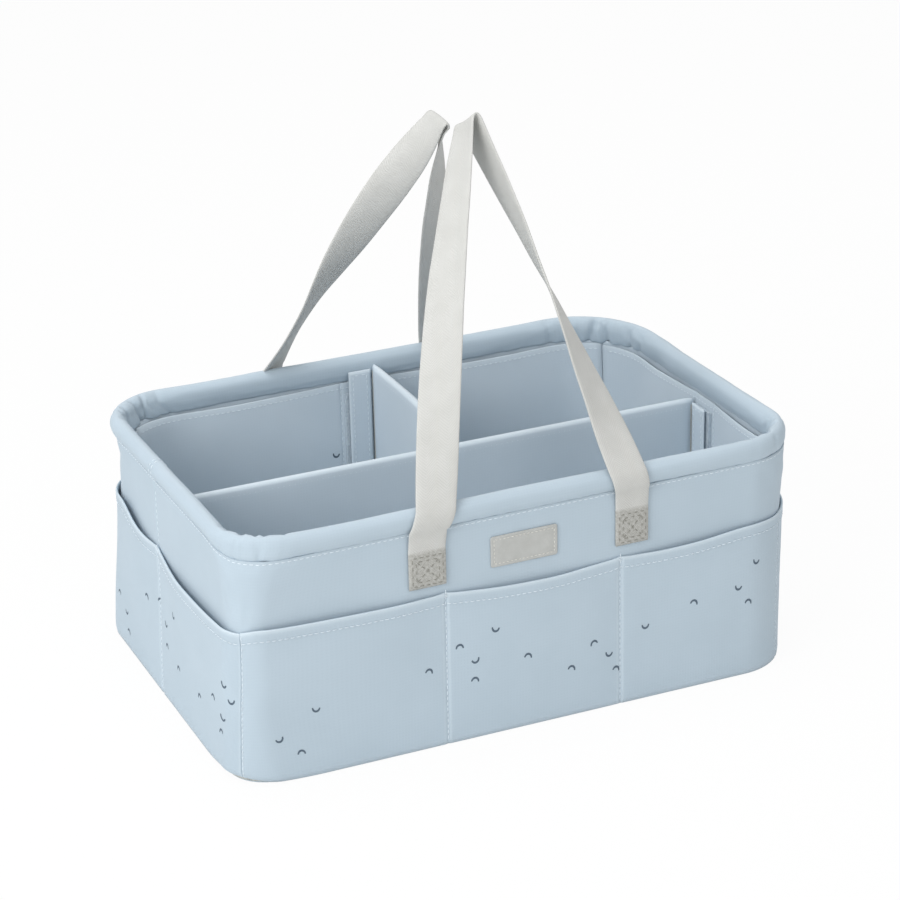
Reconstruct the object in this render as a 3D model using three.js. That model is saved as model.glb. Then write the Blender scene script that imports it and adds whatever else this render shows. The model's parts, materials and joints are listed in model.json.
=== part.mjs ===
// Fabric caddy with two webbing handles, sewn pockets outside and inside, a padded rim
// and a T-shaped divider that lifts out.
// Millimetres, +Z up. The origin is the centre of the base, +X runs along the long side,
// and the front wall, with the bare label patch, faces -Y.

import * as THREE from 'three';

// Body
const shellLength = 377;
const shellWidth = 256;
const cornerRadius = 38;
const rimTop = 158;
const seat = 0.3;
const shellThickness = 1;
const boardThickness = 3;
const liningThickness = 1;
const baseThickness = 1.2;

// Padded rim
const rimRollHeight = 16.5;
const rimThickness = 11.4;
const rimProud = 2.4;
const rimCoverThickness = 1;
const rimMouthDegrees = 16;

// Outer pockets
const pocketThickness = 1;
const pocketHemHeight = 99.5;
const pocketCornerRise = 5.5;
const longPocketGape = 7;
const endPocketGape = 7.5;
const longPocketSeam = 58;
const endPocketSeam = 10;

// Inner pockets
const innerPocketThickness = 0.9;
const innerPocketHemDrop = 3.7;
const innerPocketGape = 6;
const innerSeamBand = 24;

// Divider insert
const dividerThickness = 6;
const dividerCoverThickness = 0.9;
const dividerTop = 135.5;
const wingTop = 150;
const wingTopFullness = 6;
const wingX = 2;
const wingHingeClearance = 0.6;
const hookThickness = 1.2;
const hookWidth = 12;
const hookLengthShare = 0.66;
const flangeThickness = 1.2;
const flangeWidth = 16;
const flangeTopDrop = 2;
const loopWidth = 20;
const loopLengthShare = 0.8;
const fastenerTopDrop = 6;

// Handles
const strapWidth = 25;
const strapThickness = 1.6;
const strapEndThickness = 2.2;
const anchorHalfSpread = 67.5;
const strapEndBottom = 107;
const strapEndHeight = 24;
const strapLeanDegrees = 33;
const handles = {
  front: {
    apexX: 14.5, apexY: 11.5, apexZ: 354.5, anchorMidX: -1.8, leftBow: 4,
    rightBow: 6.5, foldShares: [0.28, -0.77, 0.57], leftTwistBias: 1, rightTwistBias: 1.6,
  },
  back: {
    apexX: 10, apexY: 14.5, apexZ: 349.5, anchorMidX: 1, leftBow: 4.5,
    rightBow: 4, foldShares: [0, 1, 0.08], leftTwistBias: 2.4, rightTwistBias: 1.8,
  },
};
const foldReach = 8;
const foldEase = 4;

// Label patch
const labelWidth = 44;
const labelHeight = 20;
const labelThickness = 0.8;
const labelX = -6;

// Pocket panels: the heights of their rows of points, as shares of the panel's height, and how
// quickly a slack panel leaves the wall as it rises
const pocketRowShares = [0, 0.12, 0.32, 0.62, 1];
const pocketFullness = 2.4;

// Facet counts
const cornerSteps = 4;
const pocketColumns = 8;
const rimSectionSteps = 14;
const legSteps = 16;
const foldSteps = 6;
const coverArcSteps = 4;
const wingSteps = 12;

// Heights and depths that follow from the sizes above. A depth is measured inward from the
// outer face of the shell, so what stands outside the shell has a negative depth.
const wallBottom = baseThickness + seat;
const wallTop = rimTop - rimRollHeight - seat;
const innerPocketHemHeight = wallTop - innerPocketHemDrop;
const boardDepth = shellThickness + seat;
const liningDepth = boardDepth + boardThickness + seat;
const wallBuild = liningDepth + liningThickness;
const baseBoardTop = wallBottom + boardThickness;
const baseLiningBottom = baseBoardTop + seat;
const floorHeight = baseLiningBottom + liningThickness;
const innerPocketDepth = wallBuild + seat;
const rimInnerDepth = rimThickness - rimProud;
const rimCentreDepth = (rimInnerDepth - rimProud) / 2;
const rimCentreHeight = rimTop - rimRollHeight / 2;
const loopDepth = innerPocketDepth + innerPocketThickness + seat;
const loopThickness = rimInnerDepth - loopDepth;
const hookDepth = rimInnerDepth + seat;
const flangeDepth = hookDepth + hookThickness + seat;
const dividerBottom = floorHeight + seat;
const pocketDepth = -seat - pocketThickness;
const strapEndTop = strapEndBottom + strapEndHeight;
const labelCentreHeight = (pocketHemHeight + wallTop) / 2;

const materials = {
  fabric: () => new THREE.MeshStandardMaterial({ color: 0xb7c8d6, roughness: 0.9, metalness: 0 }),
  lining: () => new THREE.MeshStandardMaterial({ color: 0xadbfce, roughness: 0.92, metalness: 0 }),
  board: () => new THREE.MeshStandardMaterial({ color: 0xd9dad6, roughness: 0.7, metalness: 0 }),
  foam: () => new THREE.MeshStandardMaterial({ color: 0xf0efe9, roughness: 0.95, metalness: 0 }),
  webbing: () => new THREE.MeshStandardMaterial({ color: 0xd6d6d1, roughness: 0.85, metalness: 0 }),
  label: () => new THREE.MeshStandardMaterial({ color: 0xbebeb7, roughness: 0.6, metalness: 0 }),
  hook: () => new THREE.MeshStandardMaterial({ color: 0xc9d3da, roughness: 0.8, metalness: 0 }),
};

const caddy = new THREE.Group();

function addPiece(name, geometry, material) {
  const mesh = new THREE.Mesh(geometry, material());
  mesh.name = name;
  caddy.add(mesh);
  return mesh;
}

function signedVolume(points, triangles) {
  let total = 0;
  const cross = new THREE.Vector3();
  for (const [a, b, c] of triangles) {
    total += points[a].dot(cross.crossVectors(points[b], points[c]));
  }
  return total;
}

// A solid between two grids of points, one for each face of a sheet. Each grid is a list of
// stations, and each station a list of points from one edge of the sheet to the other. A ring
// joins its last station to its first.
function sheetSolid(outer, inner, isRing = false) {
  const stationCount = outer.length;
  const rowCount = outer[0].length;
  const points = [...outer.flat(), ...inner.flat()];
  const innerStart = stationCount * rowCount;
  const outerIndex = (station, row) => (station % stationCount) * rowCount + row;
  const innerIndex = (station, row) => innerStart + outerIndex(station, row);
  const triangles = [];
  const addQuad = (a, b, c, d) => triangles.push([a, b, c], [a, c, d]);
  const spans = isRing ? stationCount : stationCount - 1;
  for (let station = 0; station < spans; station += 1) {
    const next = station + 1;
    for (let row = 0; row < rowCount - 1; row += 1) {
      addQuad(outerIndex(station, row), outerIndex(next, row),
        outerIndex(next, row + 1), outerIndex(station, row + 1));
      addQuad(innerIndex(station, row), innerIndex(station, row + 1),
        innerIndex(next, row + 1), innerIndex(next, row));
    }
    addQuad(innerIndex(station, 0), innerIndex(next, 0), outerIndex(next, 0), outerIndex(station, 0));
    const last = rowCount - 1;
    addQuad(outerIndex(station, last), outerIndex(next, last),
      innerIndex(next, last), innerIndex(station, last));
  }
  if (!isRing) {
    const end = stationCount - 1;
    for (let row = 0; row < rowCount - 1; row += 1) {
      addQuad(outerIndex(0, row), outerIndex(0, row + 1), innerIndex(0, row + 1), innerIndex(0, row));
      addQuad(innerIndex(end, row), innerIndex(end, row + 1),
        outerIndex(end, row + 1), outerIndex(end, row));
    }
  }
  if (signedVolume(points, triangles) < 0) {
    triangles.forEach((triangle) => triangle.reverse());
  }
  const geometry = new THREE.BufferGeometry();
  geometry.setAttribute('position', new THREE.Float32BufferAttribute(points.flatMap((p) => p.toArray()), 3));
  geometry.setIndex(triangles.flat());
  geometry.computeVertexNormals();
  return geometry;
}

// The four walls share one local frame: u runs along the wall, seen from outside from left
// to right, and v runs inward across the body. The quarter turns carry it to its side.
const walls = {
  front: { quarterTurns: 0, length: shellLength, across: shellWidth },
  right: { quarterTurns: 1, length: shellWidth, across: shellLength },
  back: { quarterTurns: 2, length: shellLength, across: shellWidth },
  left: { quarterTurns: 3, length: shellWidth, across: shellLength },
};

function turned(u, v, quarterTurns) {
  const point = new THREE.Vector2(u, v);
  for (let turn = 0; turn < quarterTurns; turn += 1) {
    point.set(-point.y, point.x);
  }
  return point;
}

// A station of a wall: the point on the shell's outer face and the inward direction there.
function straightStation(wall, u) {
  return { u, point: new THREE.Vector2(u, -wall.across / 2), inward: new THREE.Vector2(0, 1) };
}

function cornerStation(wall, side, angle) {
  const straight = wall.length / 2 - cornerRadius;
  const inward = new THREE.Vector2(-side * Math.sin(angle), Math.cos(angle));
  const centre = new THREE.Vector2(side * straight, cornerRadius - wall.across / 2);
  return {
    u: side * (straight + cornerRadius * angle),
    point: centre.addScaledVector(inward, -cornerRadius),
    inward,
  };
}

// Stations from a wall's straight part round to the middle of the corner beside it, with a
// small seam clearance at the end. The way is -1 for the corner at low u and 1 for the other.
function cornerStations(wall, way) {
  const endAngle = Math.PI / 4 - seat / cornerRadius;
  return Array.from({ length: cornerSteps }, (_, step) => (
    cornerStation(wall, way, (endAngle * (step + 1)) / cornerSteps)));
}

// Stations from the middle of one corner to the middle of the next, with a station at each u
// in the list between.
function wallStations(wall, straightPlaces) {
  return [
    ...cornerStations(wall, -1).reverse(),
    ...straightPlaces.map((u) => straightStation(wall, u)),
    ...cornerStations(wall, 1),
  ];
}

function placeAt(wall, station, depth, height) {
  const local = station.point.clone().addScaledVector(station.inward, depth);
  const place = turned(local.x, local.y, wall.quarterTurns);
  return new THREE.Vector3(place.x, place.y, height);
}

function straightEnds(wall) {
  const straight = wall.length / 2 - cornerRadius;
  return [-straight, straight];
}

// A plain layer of a wall, round to the middle of both corners.
function wallLayer(wall, depth, thickness, bottom, top) {
  const stations = wallStations(wall, straightEnds(wall));
  const face = (faceDepth) => stations.map(
    (station) => [bottom, top].map((height) => placeAt(wall, station, faceDepth, height)));
  return sheetSolid(face(depth), face(depth + thickness));
}

// A rounded rectangle plate, drawn in from the shell's outer face by a depth.
function basePlate(depth, bottom, thickness) {
  const halfLength = shellLength / 2 - depth;
  const halfWidth = shellWidth / 2 - depth;
  const radius = cornerRadius - depth;
  const outline = new THREE.Shape();
  outline.moveTo(halfLength, radius - halfWidth);
  outline.absarc(halfLength - radius, halfWidth - radius, radius, 0, Math.PI / 2);
  outline.absarc(radius - halfLength, halfWidth - radius, radius, Math.PI / 2, Math.PI);
  outline.absarc(radius - halfLength, radius - halfWidth, radius, Math.PI, 1.5 * Math.PI);
  outline.absarc(halfLength - radius, radius - halfWidth, radius, 1.5 * Math.PI, 2 * Math.PI);
  const plate = new THREE.ExtrudeGeometry(
    outline, { depth: thickness, bevelEnabled: false, curveSegments: cornerSteps * 2 });
  return plate.translate(0, 0, bottom);
}

function buildWalls() {
  for (const [side, wall] of Object.entries(walls)) {
    addPiece(`outer_${side}_panel`,
      wallLayer(wall, 0, shellThickness, wallBottom, wallTop), materials.fabric);
    addPiece(`${side}_board`,
      wallLayer(wall, boardDepth, boardThickness, wallBottom, wallTop), materials.board);
    addPiece(`${side}_lining`,
      wallLayer(wall, liningDepth, liningThickness, baseLiningBottom, wallTop), materials.lining);
  }
  addPiece('outer_base_panel', basePlate(pocketDepth, 0, baseThickness), materials.fabric);
  addPiece('base_board', basePlate(liningDepth, wallBottom, boardThickness), materials.board);
  addPiece('base_lining', basePlate(wallBuild + seat, baseLiningBottom, liningThickness), materials.lining);
}

// Places across a run of pockets: every pocket has the same number of columns, and the
// seams between pockets are places too.
function pocketPlaces(seams, ends) {
  const limits = [ends[0], ...seams, ends[1]];
  const places = [];
  for (let pocket = 0; pocket < limits.length - 1; pocket += 1) {
    const width = limits[pocket + 1] - limits[pocket];
    for (let column = 0; column < pocketColumns; column += 1) {
      places.push(limits[pocket] + (width * column) / pocketColumns);
    }
  }
  places.push(ends[1]);
  return places;
}

// How far open a pocket stands at u, from 0 at a seam to 1 at its middle.
function openShareAt(u, limits) {
  for (let pocket = 0; pocket < limits.length - 1; pocket += 1) {
    const [from, to] = [limits[pocket], limits[pocket + 1]];
    if (u > from && u < to) {
      return Math.sin((Math.PI * (u - from)) / (to - from));
    }
  }
  return 0;
}

// A panel of outer pockets follows the wall and stands away from it in each pocket.
function pocketPanel(wall, pocket) {
  const seamRun = wall.length / 2 - cornerRadius * (1 - Math.PI / 4);
  const limits = [-seamRun, ...pocket.seams, seamRun];
  const stations = wallStations(wall, pocketPlaces(pocket.seams, straightEnds(wall)));
  const face = (extraDepth) => stations.map((station) => {
    const open = pocket.gape * openShareAt(station.u, limits);
    const rise = pocketCornerRise * (station.u / seamRun) ** 2;
    return pocketRowShares.map((share) => {
      const standing = open * (1 - (1 - share) ** pocketFullness);
      const height = wallBottom + (pocketHemHeight + rise - wallBottom) * share;
      return placeAt(wall, station, pocketDepth - standing + extraDepth, height);
    });
  });
  return sheetSolid(face(0), face(pocketThickness));
}

function buildOuterPockets() {
  const longSide = { gape: longPocketGape, seams: [-longPocketSeam, longPocketSeam] };
  const shortSide = (seam) => ({ gape: endPocketGape, seams: [seam] });
  addPiece('front_outer_pockets', pocketPanel(walls.front, longSide), materials.fabric);
  addPiece('back_outer_pockets', pocketPanel(walls.back, longSide), materials.fabric);
  addPiece('left_outer_pockets', pocketPanel(walls.left, shortSide(-endPocketSeam)), materials.fabric);
  addPiece('right_outer_pockets', pocketPanel(walls.right, shortSide(endPocketSeam)), materials.fabric);
}

// Where a divider meets a wall: its place u along the wall, the side that its flange is
// folded to, and its top. The fastener strips lie behind the middle of the flange.
const dividerEnds = {
  left: { u: 0, side: 1, top: dividerTop, name: 'long_divider_left' },
  right: { u: 0, side: -1, top: dividerTop, name: 'long_divider_right' },
  back: { u: -wingX, side: 1, top: wingTop, name: 'cross_divider' },
};

const flangeRoot = (end) => end.u + end.side * (dividerThickness / 2 + seat);
const flangeTip = (end) => flangeRoot(end) + end.side * flangeWidth;
const flangeCentre = (end) => (flangeRoot(end) + flangeTip(end)) / 2;

// Each wall has two inner pockets, named here in the order of u.
const innerPocketNames = {
  front: ['front_left', 'front_right'],
  right: ['right_fore', 'right_rear'],
  back: ['back_right', 'back_left'],
  left: ['left_rear', 'left_fore'],
};

function buildInnerPockets() {
  for (const [side, wall] of Object.entries(walls)) {
    const join = side in dividerEnds ? flangeCentre(dividerEnds[side]) : 0;
    const [lowName, highName] = innerPocketNames[side];
    addPiece(`${lowName}_inner_pocket`, innerPocketPanel(wall, join, -1), materials.lining);
    addPiece(`${highName}_inner_pocket`, innerPocketPanel(wall, join, 1), materials.lining);
  }
}

// An inner panel is sewn down at its corner and along a seam, and stands open between them.
// Past the seam it lies flat as far as the join with its neighbour, which the loop strip
// covers where a divider comes. The way is -1 for the panel at low u and 1 for the other.
function innerPocketPanel(wall, join, way) {
  const straightEnd = way * (wall.length / 2 - cornerRadius);
  const cornerSeam = way * (wall.length / 2 - cornerRadius * (1 - Math.PI / 4));
  const seam = join + (way * innerSeamBand) / 2;
  const places = [join + (way * seat) / 2, ...pocketPlaces([], [seam, straightEnd])];
  const stations = [...places.map((u) => straightStation(wall, u)), ...cornerStations(wall, way)];
  const limits = [Math.min(seam, cornerSeam), Math.max(seam, cornerSeam)];
  const bottom = floorHeight + seat;
  const face = (extraDepth) => stations.map((station) => {
    const open = innerPocketGape * openShareAt(station.u, limits);
    return pocketRowShares.map((share) => {
      const standing = open * (1 - (1 - share) ** pocketFullness);
      const height = bottom + (innerPocketHemHeight - bottom) * share;
      return placeAt(wall, station, innerPocketDepth + standing + extraDepth, height);
    });
  });
  return sheetSolid(face(0), face(innerPocketThickness));
}

// Stations all the way round the plan, for the rim.
function roundStations() {
  const stations = [];
  for (const wall of Object.values(walls)) {
    const corner = Array.from({ length: cornerSteps }, (_, step) => (
      cornerStation(wall, 1, (Math.PI / 2) * ((step + 1) / (cornerSteps + 1)))));
    [straightStation(wall, straightEnds(wall)[0]), straightStation(wall, straightEnds(wall)[1]), ...corner]
      .forEach((station) => stations.push({ wall, station }));
  }
  return stations;
}

// A ring of the rim's oval section, as a sheet from one lip round over the top to the other.
function rimOval(drawnIn, angles) {
  const [halfThickness, halfHeight] = [rimThickness / 2 - drawnIn, rimRollHeight / 2 - drawnIn];
  return roundStations().map(({ wall, station }) => angles.map((angle) => (
    placeAt(wall, station, rimCentreDepth - halfThickness * Math.cos(angle),
      rimCentreHeight + halfHeight * Math.sin(angle)))));
}

function anglesBetween(from, to, steps) {
  return Array.from({ length: steps + 1 }, (_, step) => from + ((to - from) * step) / steps);
}

function buildRim() {
  const mouth = THREE.MathUtils.degToRad(rimMouthDegrees);
  const coverAngles = anglesBetween(mouth - Math.PI / 2, 1.5 * Math.PI - mouth, rimSectionSteps);
  addPiece('rim_cover',
    sheetSolid(rimOval(0, coverAngles), rimOval(rimCoverThickness, coverAngles), true), materials.fabric);
  const foamInset = rimCoverThickness + seat;
  const halfStep = Math.PI / rimSectionSteps;
  addPiece('rim_padding', sheetSolid(
    rimOval(foamInset, anglesBetween(halfStep, Math.PI - halfStep, rimSectionSteps / 2 - 1)),
    rimOval(foamInset, anglesBetween(-halfStep, halfStep - Math.PI, rimSectionSteps / 2 - 1)),
    true,
  ), materials.foam);
}

// A box given by its lowest and highest corners.
function boxBetween(low, high) {
  const size = new THREE.Vector3().subVectors(high, low);
  const centre = new THREE.Vector3().addVectors(low, high).multiplyScalar(0.5);
  return new THREE.BoxGeometry(size.x, size.y, size.z).translate(centre.x, centre.y, centre.z);
}

// A fabric cover folded over the top of a divider, open along the bottom. The section is
// drawn across the divider and the stations run along it.
function foldedCover(along, topAt, toWorld) {
  const section = (halfThickness, top) => {
    const arc = anglesBetween(Math.PI, 0, coverArcSteps * 2).map((angle) => (
      [halfThickness * Math.cos(angle), top - halfThickness + halfThickness * Math.sin(angle)]));
    return [[-halfThickness, dividerBottom], ...arc, [halfThickness, dividerBottom]];
  };
  const face = (drawnIn) => along.map((place) => (
    section(dividerThickness / 2 - drawnIn, topAt(place) - drawnIn)
      .map(([across, height]) => toWorld(place, across, height))));
  return sheetSolid(face(0), face(dividerCoverThickness));
}

const boardInset = dividerCoverThickness + seat;
const longHalfLength = shellLength / 2 - hookDepth;
const wingStart = dividerThickness / 2 + wingHingeClearance;
const wingEnd = shellWidth / 2 - hookDepth;

// The wing's top rises steeply from the long divider and then runs nearly level to the wall.
function wingTopAt(y) {
  const share = (wingEnd - y) / (wingEnd - wingStart);
  return wingTop - (wingTop - dividerTop) * share ** wingTopFullness;
}

function buildDividers() {
  addPiece('long_divider_cover', foldedCover([-longHalfLength, longHalfLength], () => dividerTop,
    (x, across, height) => new THREE.Vector3(x, across, height)), materials.fabric);
  const boardHalfThickness = dividerThickness / 2 - boardInset;
  const boardTopDrop = dividerThickness / 2 + boardInset;
  addPiece('long_divider_board', boxBetween(
    new THREE.Vector3(seat - longHalfLength, -boardHalfThickness, dividerBottom),
    new THREE.Vector3(longHalfLength - seat, boardHalfThickness, dividerTop - boardTopDrop),
  ), materials.board);

  const wingPlaces = anglesBetween(wingStart, wingEnd, wingSteps);
  addPiece('cross_divider_cover', foldedCover(wingPlaces, wingTopAt,
    (y, across, height) => new THREE.Vector3(wingX + across, y, height)), materials.fabric);
  const boardFace = (across) => wingPlaces.map((y) => (
    [dividerBottom, wingTopAt(y) - boardTopDrop].map((height) => (
      new THREE.Vector3(wingX + across, THREE.MathUtils.clamp(y, wingStart + seat, wingEnd - seat), height)))));
  addPiece('cross_divider_board',
    sheetSolid(boardFace(-boardHalfThickness), boardFace(boardHalfThickness)), materials.board);
}

// The folded flange at a divider's free end, its hook strip, and the loop strip that the
// hooks press into. All three lie flat against the wall, to one side of the divider.
function buildFastener(wall, end) {
  const slab = (uFrom, uTo, depth, thickness, bottom, slabTop) => {
    const near = placeAt(wall, straightStation(wall, uFrom), depth, bottom);
    const far = placeAt(wall, straightStation(wall, uTo), depth + thickness, slabTop);
    return boxBetween(near.clone().min(far), near.clone().max(far));
  };
  const stripTop = innerPocketHemHeight - fastenerTopDrop;
  const strip = (width, lengthShare, depth, thickness) => slab(flangeCentre(end) - width / 2,
    flangeCentre(end) + width / 2, depth, thickness, stripTop - lengthShare * innerPocketHemHeight, stripTop);
  addPiece(`${end.name}_flange`, slab(flangeRoot(end), flangeTip(end), flangeDepth,
    flangeThickness, dividerBottom, end.top - flangeTopDrop), materials.fabric);
  addPiece(`${end.name}_hook_strip`,
    strip(hookWidth, hookLengthShare, hookDepth, hookThickness), materials.hook);
  addPiece(`${end.name}_loop_strip`,
    strip(loopWidth, loopLengthShare, loopDepth, loopThickness), materials.hook);
}

function buildFasteners() {
  Object.entries(dividerEnds).forEach(([side, end]) => buildFastener(walls[side], end));
}

// One point of a strap's route, with the direction from its left edge to its right edge.
// The edge line may lie askew to the route, so its length is worked out from the width.
function strapStation(centre, tangent, across) {
  const direction = across.clone().normalize();
  const skew = new THREE.Vector3().crossVectors(direction, tangent);
  const normal = skew.clone().normalize();
  return { centre, normal, reach: direction.multiplyScalar(strapWidth / 2 / skew.length()) };
}

// The lower run of a leg, from the stitched end up over the outside of the rim roll to the
// shoulder where it leaves it. The points are in the plane across the wall.
function overRimProfile() {
  const lift = seat + strapThickness / 2;
  const wallFace = -shellWidth / 2 - seat - strapEndThickness / 2;
  const [halfThickness, halfHeight] = [rimThickness / 2 + lift, rimRollHeight / 2 + lift];
  const lean = THREE.MathUtils.degToRad(strapLeanDegrees);
  const leaving = Math.atan((Math.tan(lean) * halfHeight) / halfThickness);
  const rimPoint = (angle) => ({
    y: -shellWidth / 2 + rimCentreDepth - halfThickness * Math.cos(angle),
    z: rimCentreHeight + halfHeight * Math.sin(angle),
  });
  const start = { y: wallFace, z: strapEndTop + seat };
  return [start, ...anglesBetween(-leaving, leaving, 4).map(rimPoint)];
}

// The route of one leg, from its stitched end to just short of the fold.
// It stands square up to the rim, then leans to the fold with a slight outward bow.
function legRoute(anchorX, apex, bow) {
  const profile = overRimProfile();
  const shoulder = profile.at(-1);
  const leanShare = (z) => Math.max(0, z - wallTop) / (apex.z - wallTop);
  const xAt = (z) => anchorX + (apex.x - anchorX) * leanShare(z);
  const route = profile.map(({ y, z }) => new THREE.Vector3(xAt(z), y, z));
  const start = route.at(-1);
  const end = apex.clone();
  end.addScaledVector(new THREE.Vector3().subVectors(apex, start).normalize(), -foldReach);
  const outward = Math.sign(anchorX - apex.x) * bow;
  for (let step = 1; step <= legSteps; step += 1) {
    const place = new THREE.Vector3().lerpVectors(start, end, step / legSteps);
    place.x += outward * Math.sin((Math.PI * step) / legSteps);
    route.push(place);
  }
  return { route, risesFrom: shoulder.z };
}

// Turns along a leg: 0 below the rim, where the strap lies square on the wall, to 1 at the fold.
function twistShare(z, risesFrom, apexZ, bias) {
  const share = THREE.MathUtils.clamp((z - risesFrom) / (apexZ - risesFrom), 0, 1);
  return 1 - (1 - share) ** bias;
}

function legStations({ anchorX, apex, fold, bow, bias, squareDirection }) {
  const { route, risesFrom } = legRoute(anchorX, apex, bow);
  return route.map((centre, index) => {
    const before = route[Math.max(index - 1, 0)];
    const after = route[Math.min(index + 1, route.length - 1)];
    const tangent = new THREE.Vector3().subVectors(after, before).normalize();
    const angle = (Math.PI / 2) * twistShare(centre.z, risesFrom, route.at(-1).z, bias);
    const across = squareDirection.clone().multiplyScalar(Math.cos(angle))
      .addScaledVector(fold, Math.sin(angle));
    return strapStation(centre, tangent, across);
  });
}

// A handle strap: up one leg, over the fold and down the other. It is laid out for the front
// wall, and the back one is mirrored across the middle.
function handleStrap(shape, facing) {
  const mirrored = (vector) => new THREE.Vector3(vector.x, facing * vector.y, vector.z);
  const fold = mirrored(new THREE.Vector3(...shape.foldShares)).normalize();
  const apex = new THREE.Vector3(shape.apexX, -shape.apexY, shape.apexZ);
  const right = new THREE.Vector3(1, 0, 0);
  const left = right.clone().negate();
  const leftLeg = legStations({
    apex, fold, anchorX: shape.anchorMidX - anchorHalfSpread, bow: shape.leftBow,
    bias: shape.leftTwistBias, squareDirection: right,
  });
  const rightLeg = legStations({
    apex, fold, anchorX: shape.anchorMidX + anchorHalfSpread, bow: shape.rightBow,
    bias: shape.rightTwistBias, squareDirection: left,
  });
  const eased = ({ centre }) => new THREE.Vector3().lerpVectors(centre, apex, foldEase / foldReach);
  const overFold = new THREE.CubicBezierCurve3(
    leftLeg.at(-1).centre, eased(leftLeg.at(-1)), eased(rightLeg.at(-1)), rightLeg.at(-1).centre);
  const foldStations = anglesBetween(0, 1, foldSteps).slice(1, -1).map((share) => (
    strapStation(overFold.getPoint(share), overFold.getTangent(share), fold)));
  rightLeg.forEach((station) => station.normal.negate());
  const stations = [...leftLeg, ...foldStations, ...rightLeg.reverse()];
  const face = (side) => stations.map(({ centre, normal, reach }) => [-1, 1].map((edge) => {
    const point = centre.clone().addScaledVector(reach, edge)
      .addScaledVector(normal, (side * strapThickness) / 2);
    return new THREE.Vector3(point.x, facing * point.y, point.z);
  }));
  return sheetSolid(face(1), face(-1));
}

// The box-stitched end of a strap, folded double and flat on the wall.
function strapEnd(x, facing) {
  const inner = facing * (shellWidth / 2 + seat);
  const outer = inner + facing * strapEndThickness;
  return boxBetween(
    new THREE.Vector3(x - strapWidth / 2, Math.min(inner, outer), strapEndBottom),
    new THREE.Vector3(x + strapWidth / 2, Math.max(inner, outer), strapEndTop),
  );
}

function buildHandles() {
  for (const [side, facing] of [['front', 1], ['back', -1]]) {
    const shape = handles[side];
    addPiece(`${side}_handle_strap`, handleStrap(shape, facing), materials.webbing);
    for (const [end, away] of [['left', -anchorHalfSpread], ['right', anchorHalfSpread]]) {
      addPiece(`${side}_handle_${end}_end`, strapEnd(shape.anchorMidX + away, -facing), materials.webbing);
    }
  }
}

function buildLabel() {
  const back = -shellWidth / 2 - seat;
  addPiece('label_patch', boxBetween(
    new THREE.Vector3(labelX - labelWidth / 2, back - labelThickness, labelCentreHeight - labelHeight / 2),
    new THREE.Vector3(labelX + labelWidth / 2, back, labelCentreHeight + labelHeight / 2),
  ), materials.label);
}

buildWalls();
buildOuterPockets();
buildInnerPockets();
buildRim();
buildDividers();
buildFasteners();
buildHandles();
buildLabel();

export default caddy;
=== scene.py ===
"""A nursery caddy of woven polyester canvas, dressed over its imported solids.

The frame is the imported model's own: metres, origin at the centre of the base, +X along the long
side, the front wall with the bare label patch facing -Y, +Z up. Sizes in the classes below are
millimetres, as a sewing pattern gives them, and turn to metres where a mesh is made.
"""

from __future__ import annotations

import json
import logging
import math
from collections.abc import Callable, Mapping, Sequence
from dataclasses import dataclass, field
from enum import IntEnum
from functools import partial

import bpy
import numpy as np
from mathutils import Euler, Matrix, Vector
from mathutils.bvhtree import BVHTree

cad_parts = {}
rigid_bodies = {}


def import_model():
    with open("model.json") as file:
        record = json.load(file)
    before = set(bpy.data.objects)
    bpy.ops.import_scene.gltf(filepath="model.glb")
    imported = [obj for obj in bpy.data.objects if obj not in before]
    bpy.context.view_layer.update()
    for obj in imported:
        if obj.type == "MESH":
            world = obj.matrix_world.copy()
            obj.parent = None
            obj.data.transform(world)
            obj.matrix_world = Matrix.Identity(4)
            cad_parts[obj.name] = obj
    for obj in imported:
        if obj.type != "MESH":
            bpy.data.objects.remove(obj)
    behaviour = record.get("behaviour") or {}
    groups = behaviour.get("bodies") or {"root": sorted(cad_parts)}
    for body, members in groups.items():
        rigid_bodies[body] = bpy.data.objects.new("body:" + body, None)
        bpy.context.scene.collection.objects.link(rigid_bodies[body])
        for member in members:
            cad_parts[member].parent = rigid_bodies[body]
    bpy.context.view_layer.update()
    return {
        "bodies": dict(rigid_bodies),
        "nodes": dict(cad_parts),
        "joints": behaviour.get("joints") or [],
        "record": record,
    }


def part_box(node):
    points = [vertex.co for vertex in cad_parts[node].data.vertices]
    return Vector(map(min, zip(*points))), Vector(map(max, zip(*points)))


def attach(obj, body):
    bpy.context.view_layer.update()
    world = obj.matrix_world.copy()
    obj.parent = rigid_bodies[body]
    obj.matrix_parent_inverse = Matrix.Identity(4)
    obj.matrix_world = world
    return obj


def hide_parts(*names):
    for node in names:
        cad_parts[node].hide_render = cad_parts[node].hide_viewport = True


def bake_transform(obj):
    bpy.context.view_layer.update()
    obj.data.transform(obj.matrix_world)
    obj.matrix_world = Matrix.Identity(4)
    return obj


Array = np.ndarray
Socket = bpy.types.NodeSocket
Tree = bpy.types.NodeTree

LOG = logging.getLogger("caddy")
MM = 0.001
# How far cloth that is sewn to a wall stands off the shell's flat face, in millimetres.
SEAT = 0.3


class Side(IntEnum):
    """A wall, by the quarter turns that carry the front wall to it.

    A tuple with a value for each wall has them in this order.
    """

    FRONT = 0
    RIGHT = 1
    BACK = 2
    LEFT = 3

    @property
    def label(self) -> str:
        """The wall's name as the node names spell it."""
        return self.name.lower()


def linear(hex_colour: str) -> tuple[float, float, float, float]:
    """Turn an sRGB hex colour to linear.

    Args:
        hex_colour: The colour, as #RRGGBB.

    Returns:
        Linear red, green and blue, and an alpha of 1.
    """
    channels = [int(hex_colour[at : at + 2], 16) / 255 for at in (1, 3, 5)]
    red, green, blue = (c / 12.92 if c <= 0.04045 else ((c + 0.055) / 1.055) ** 2.4 for c in channels)
    return red, green, blue, 1.0


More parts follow.
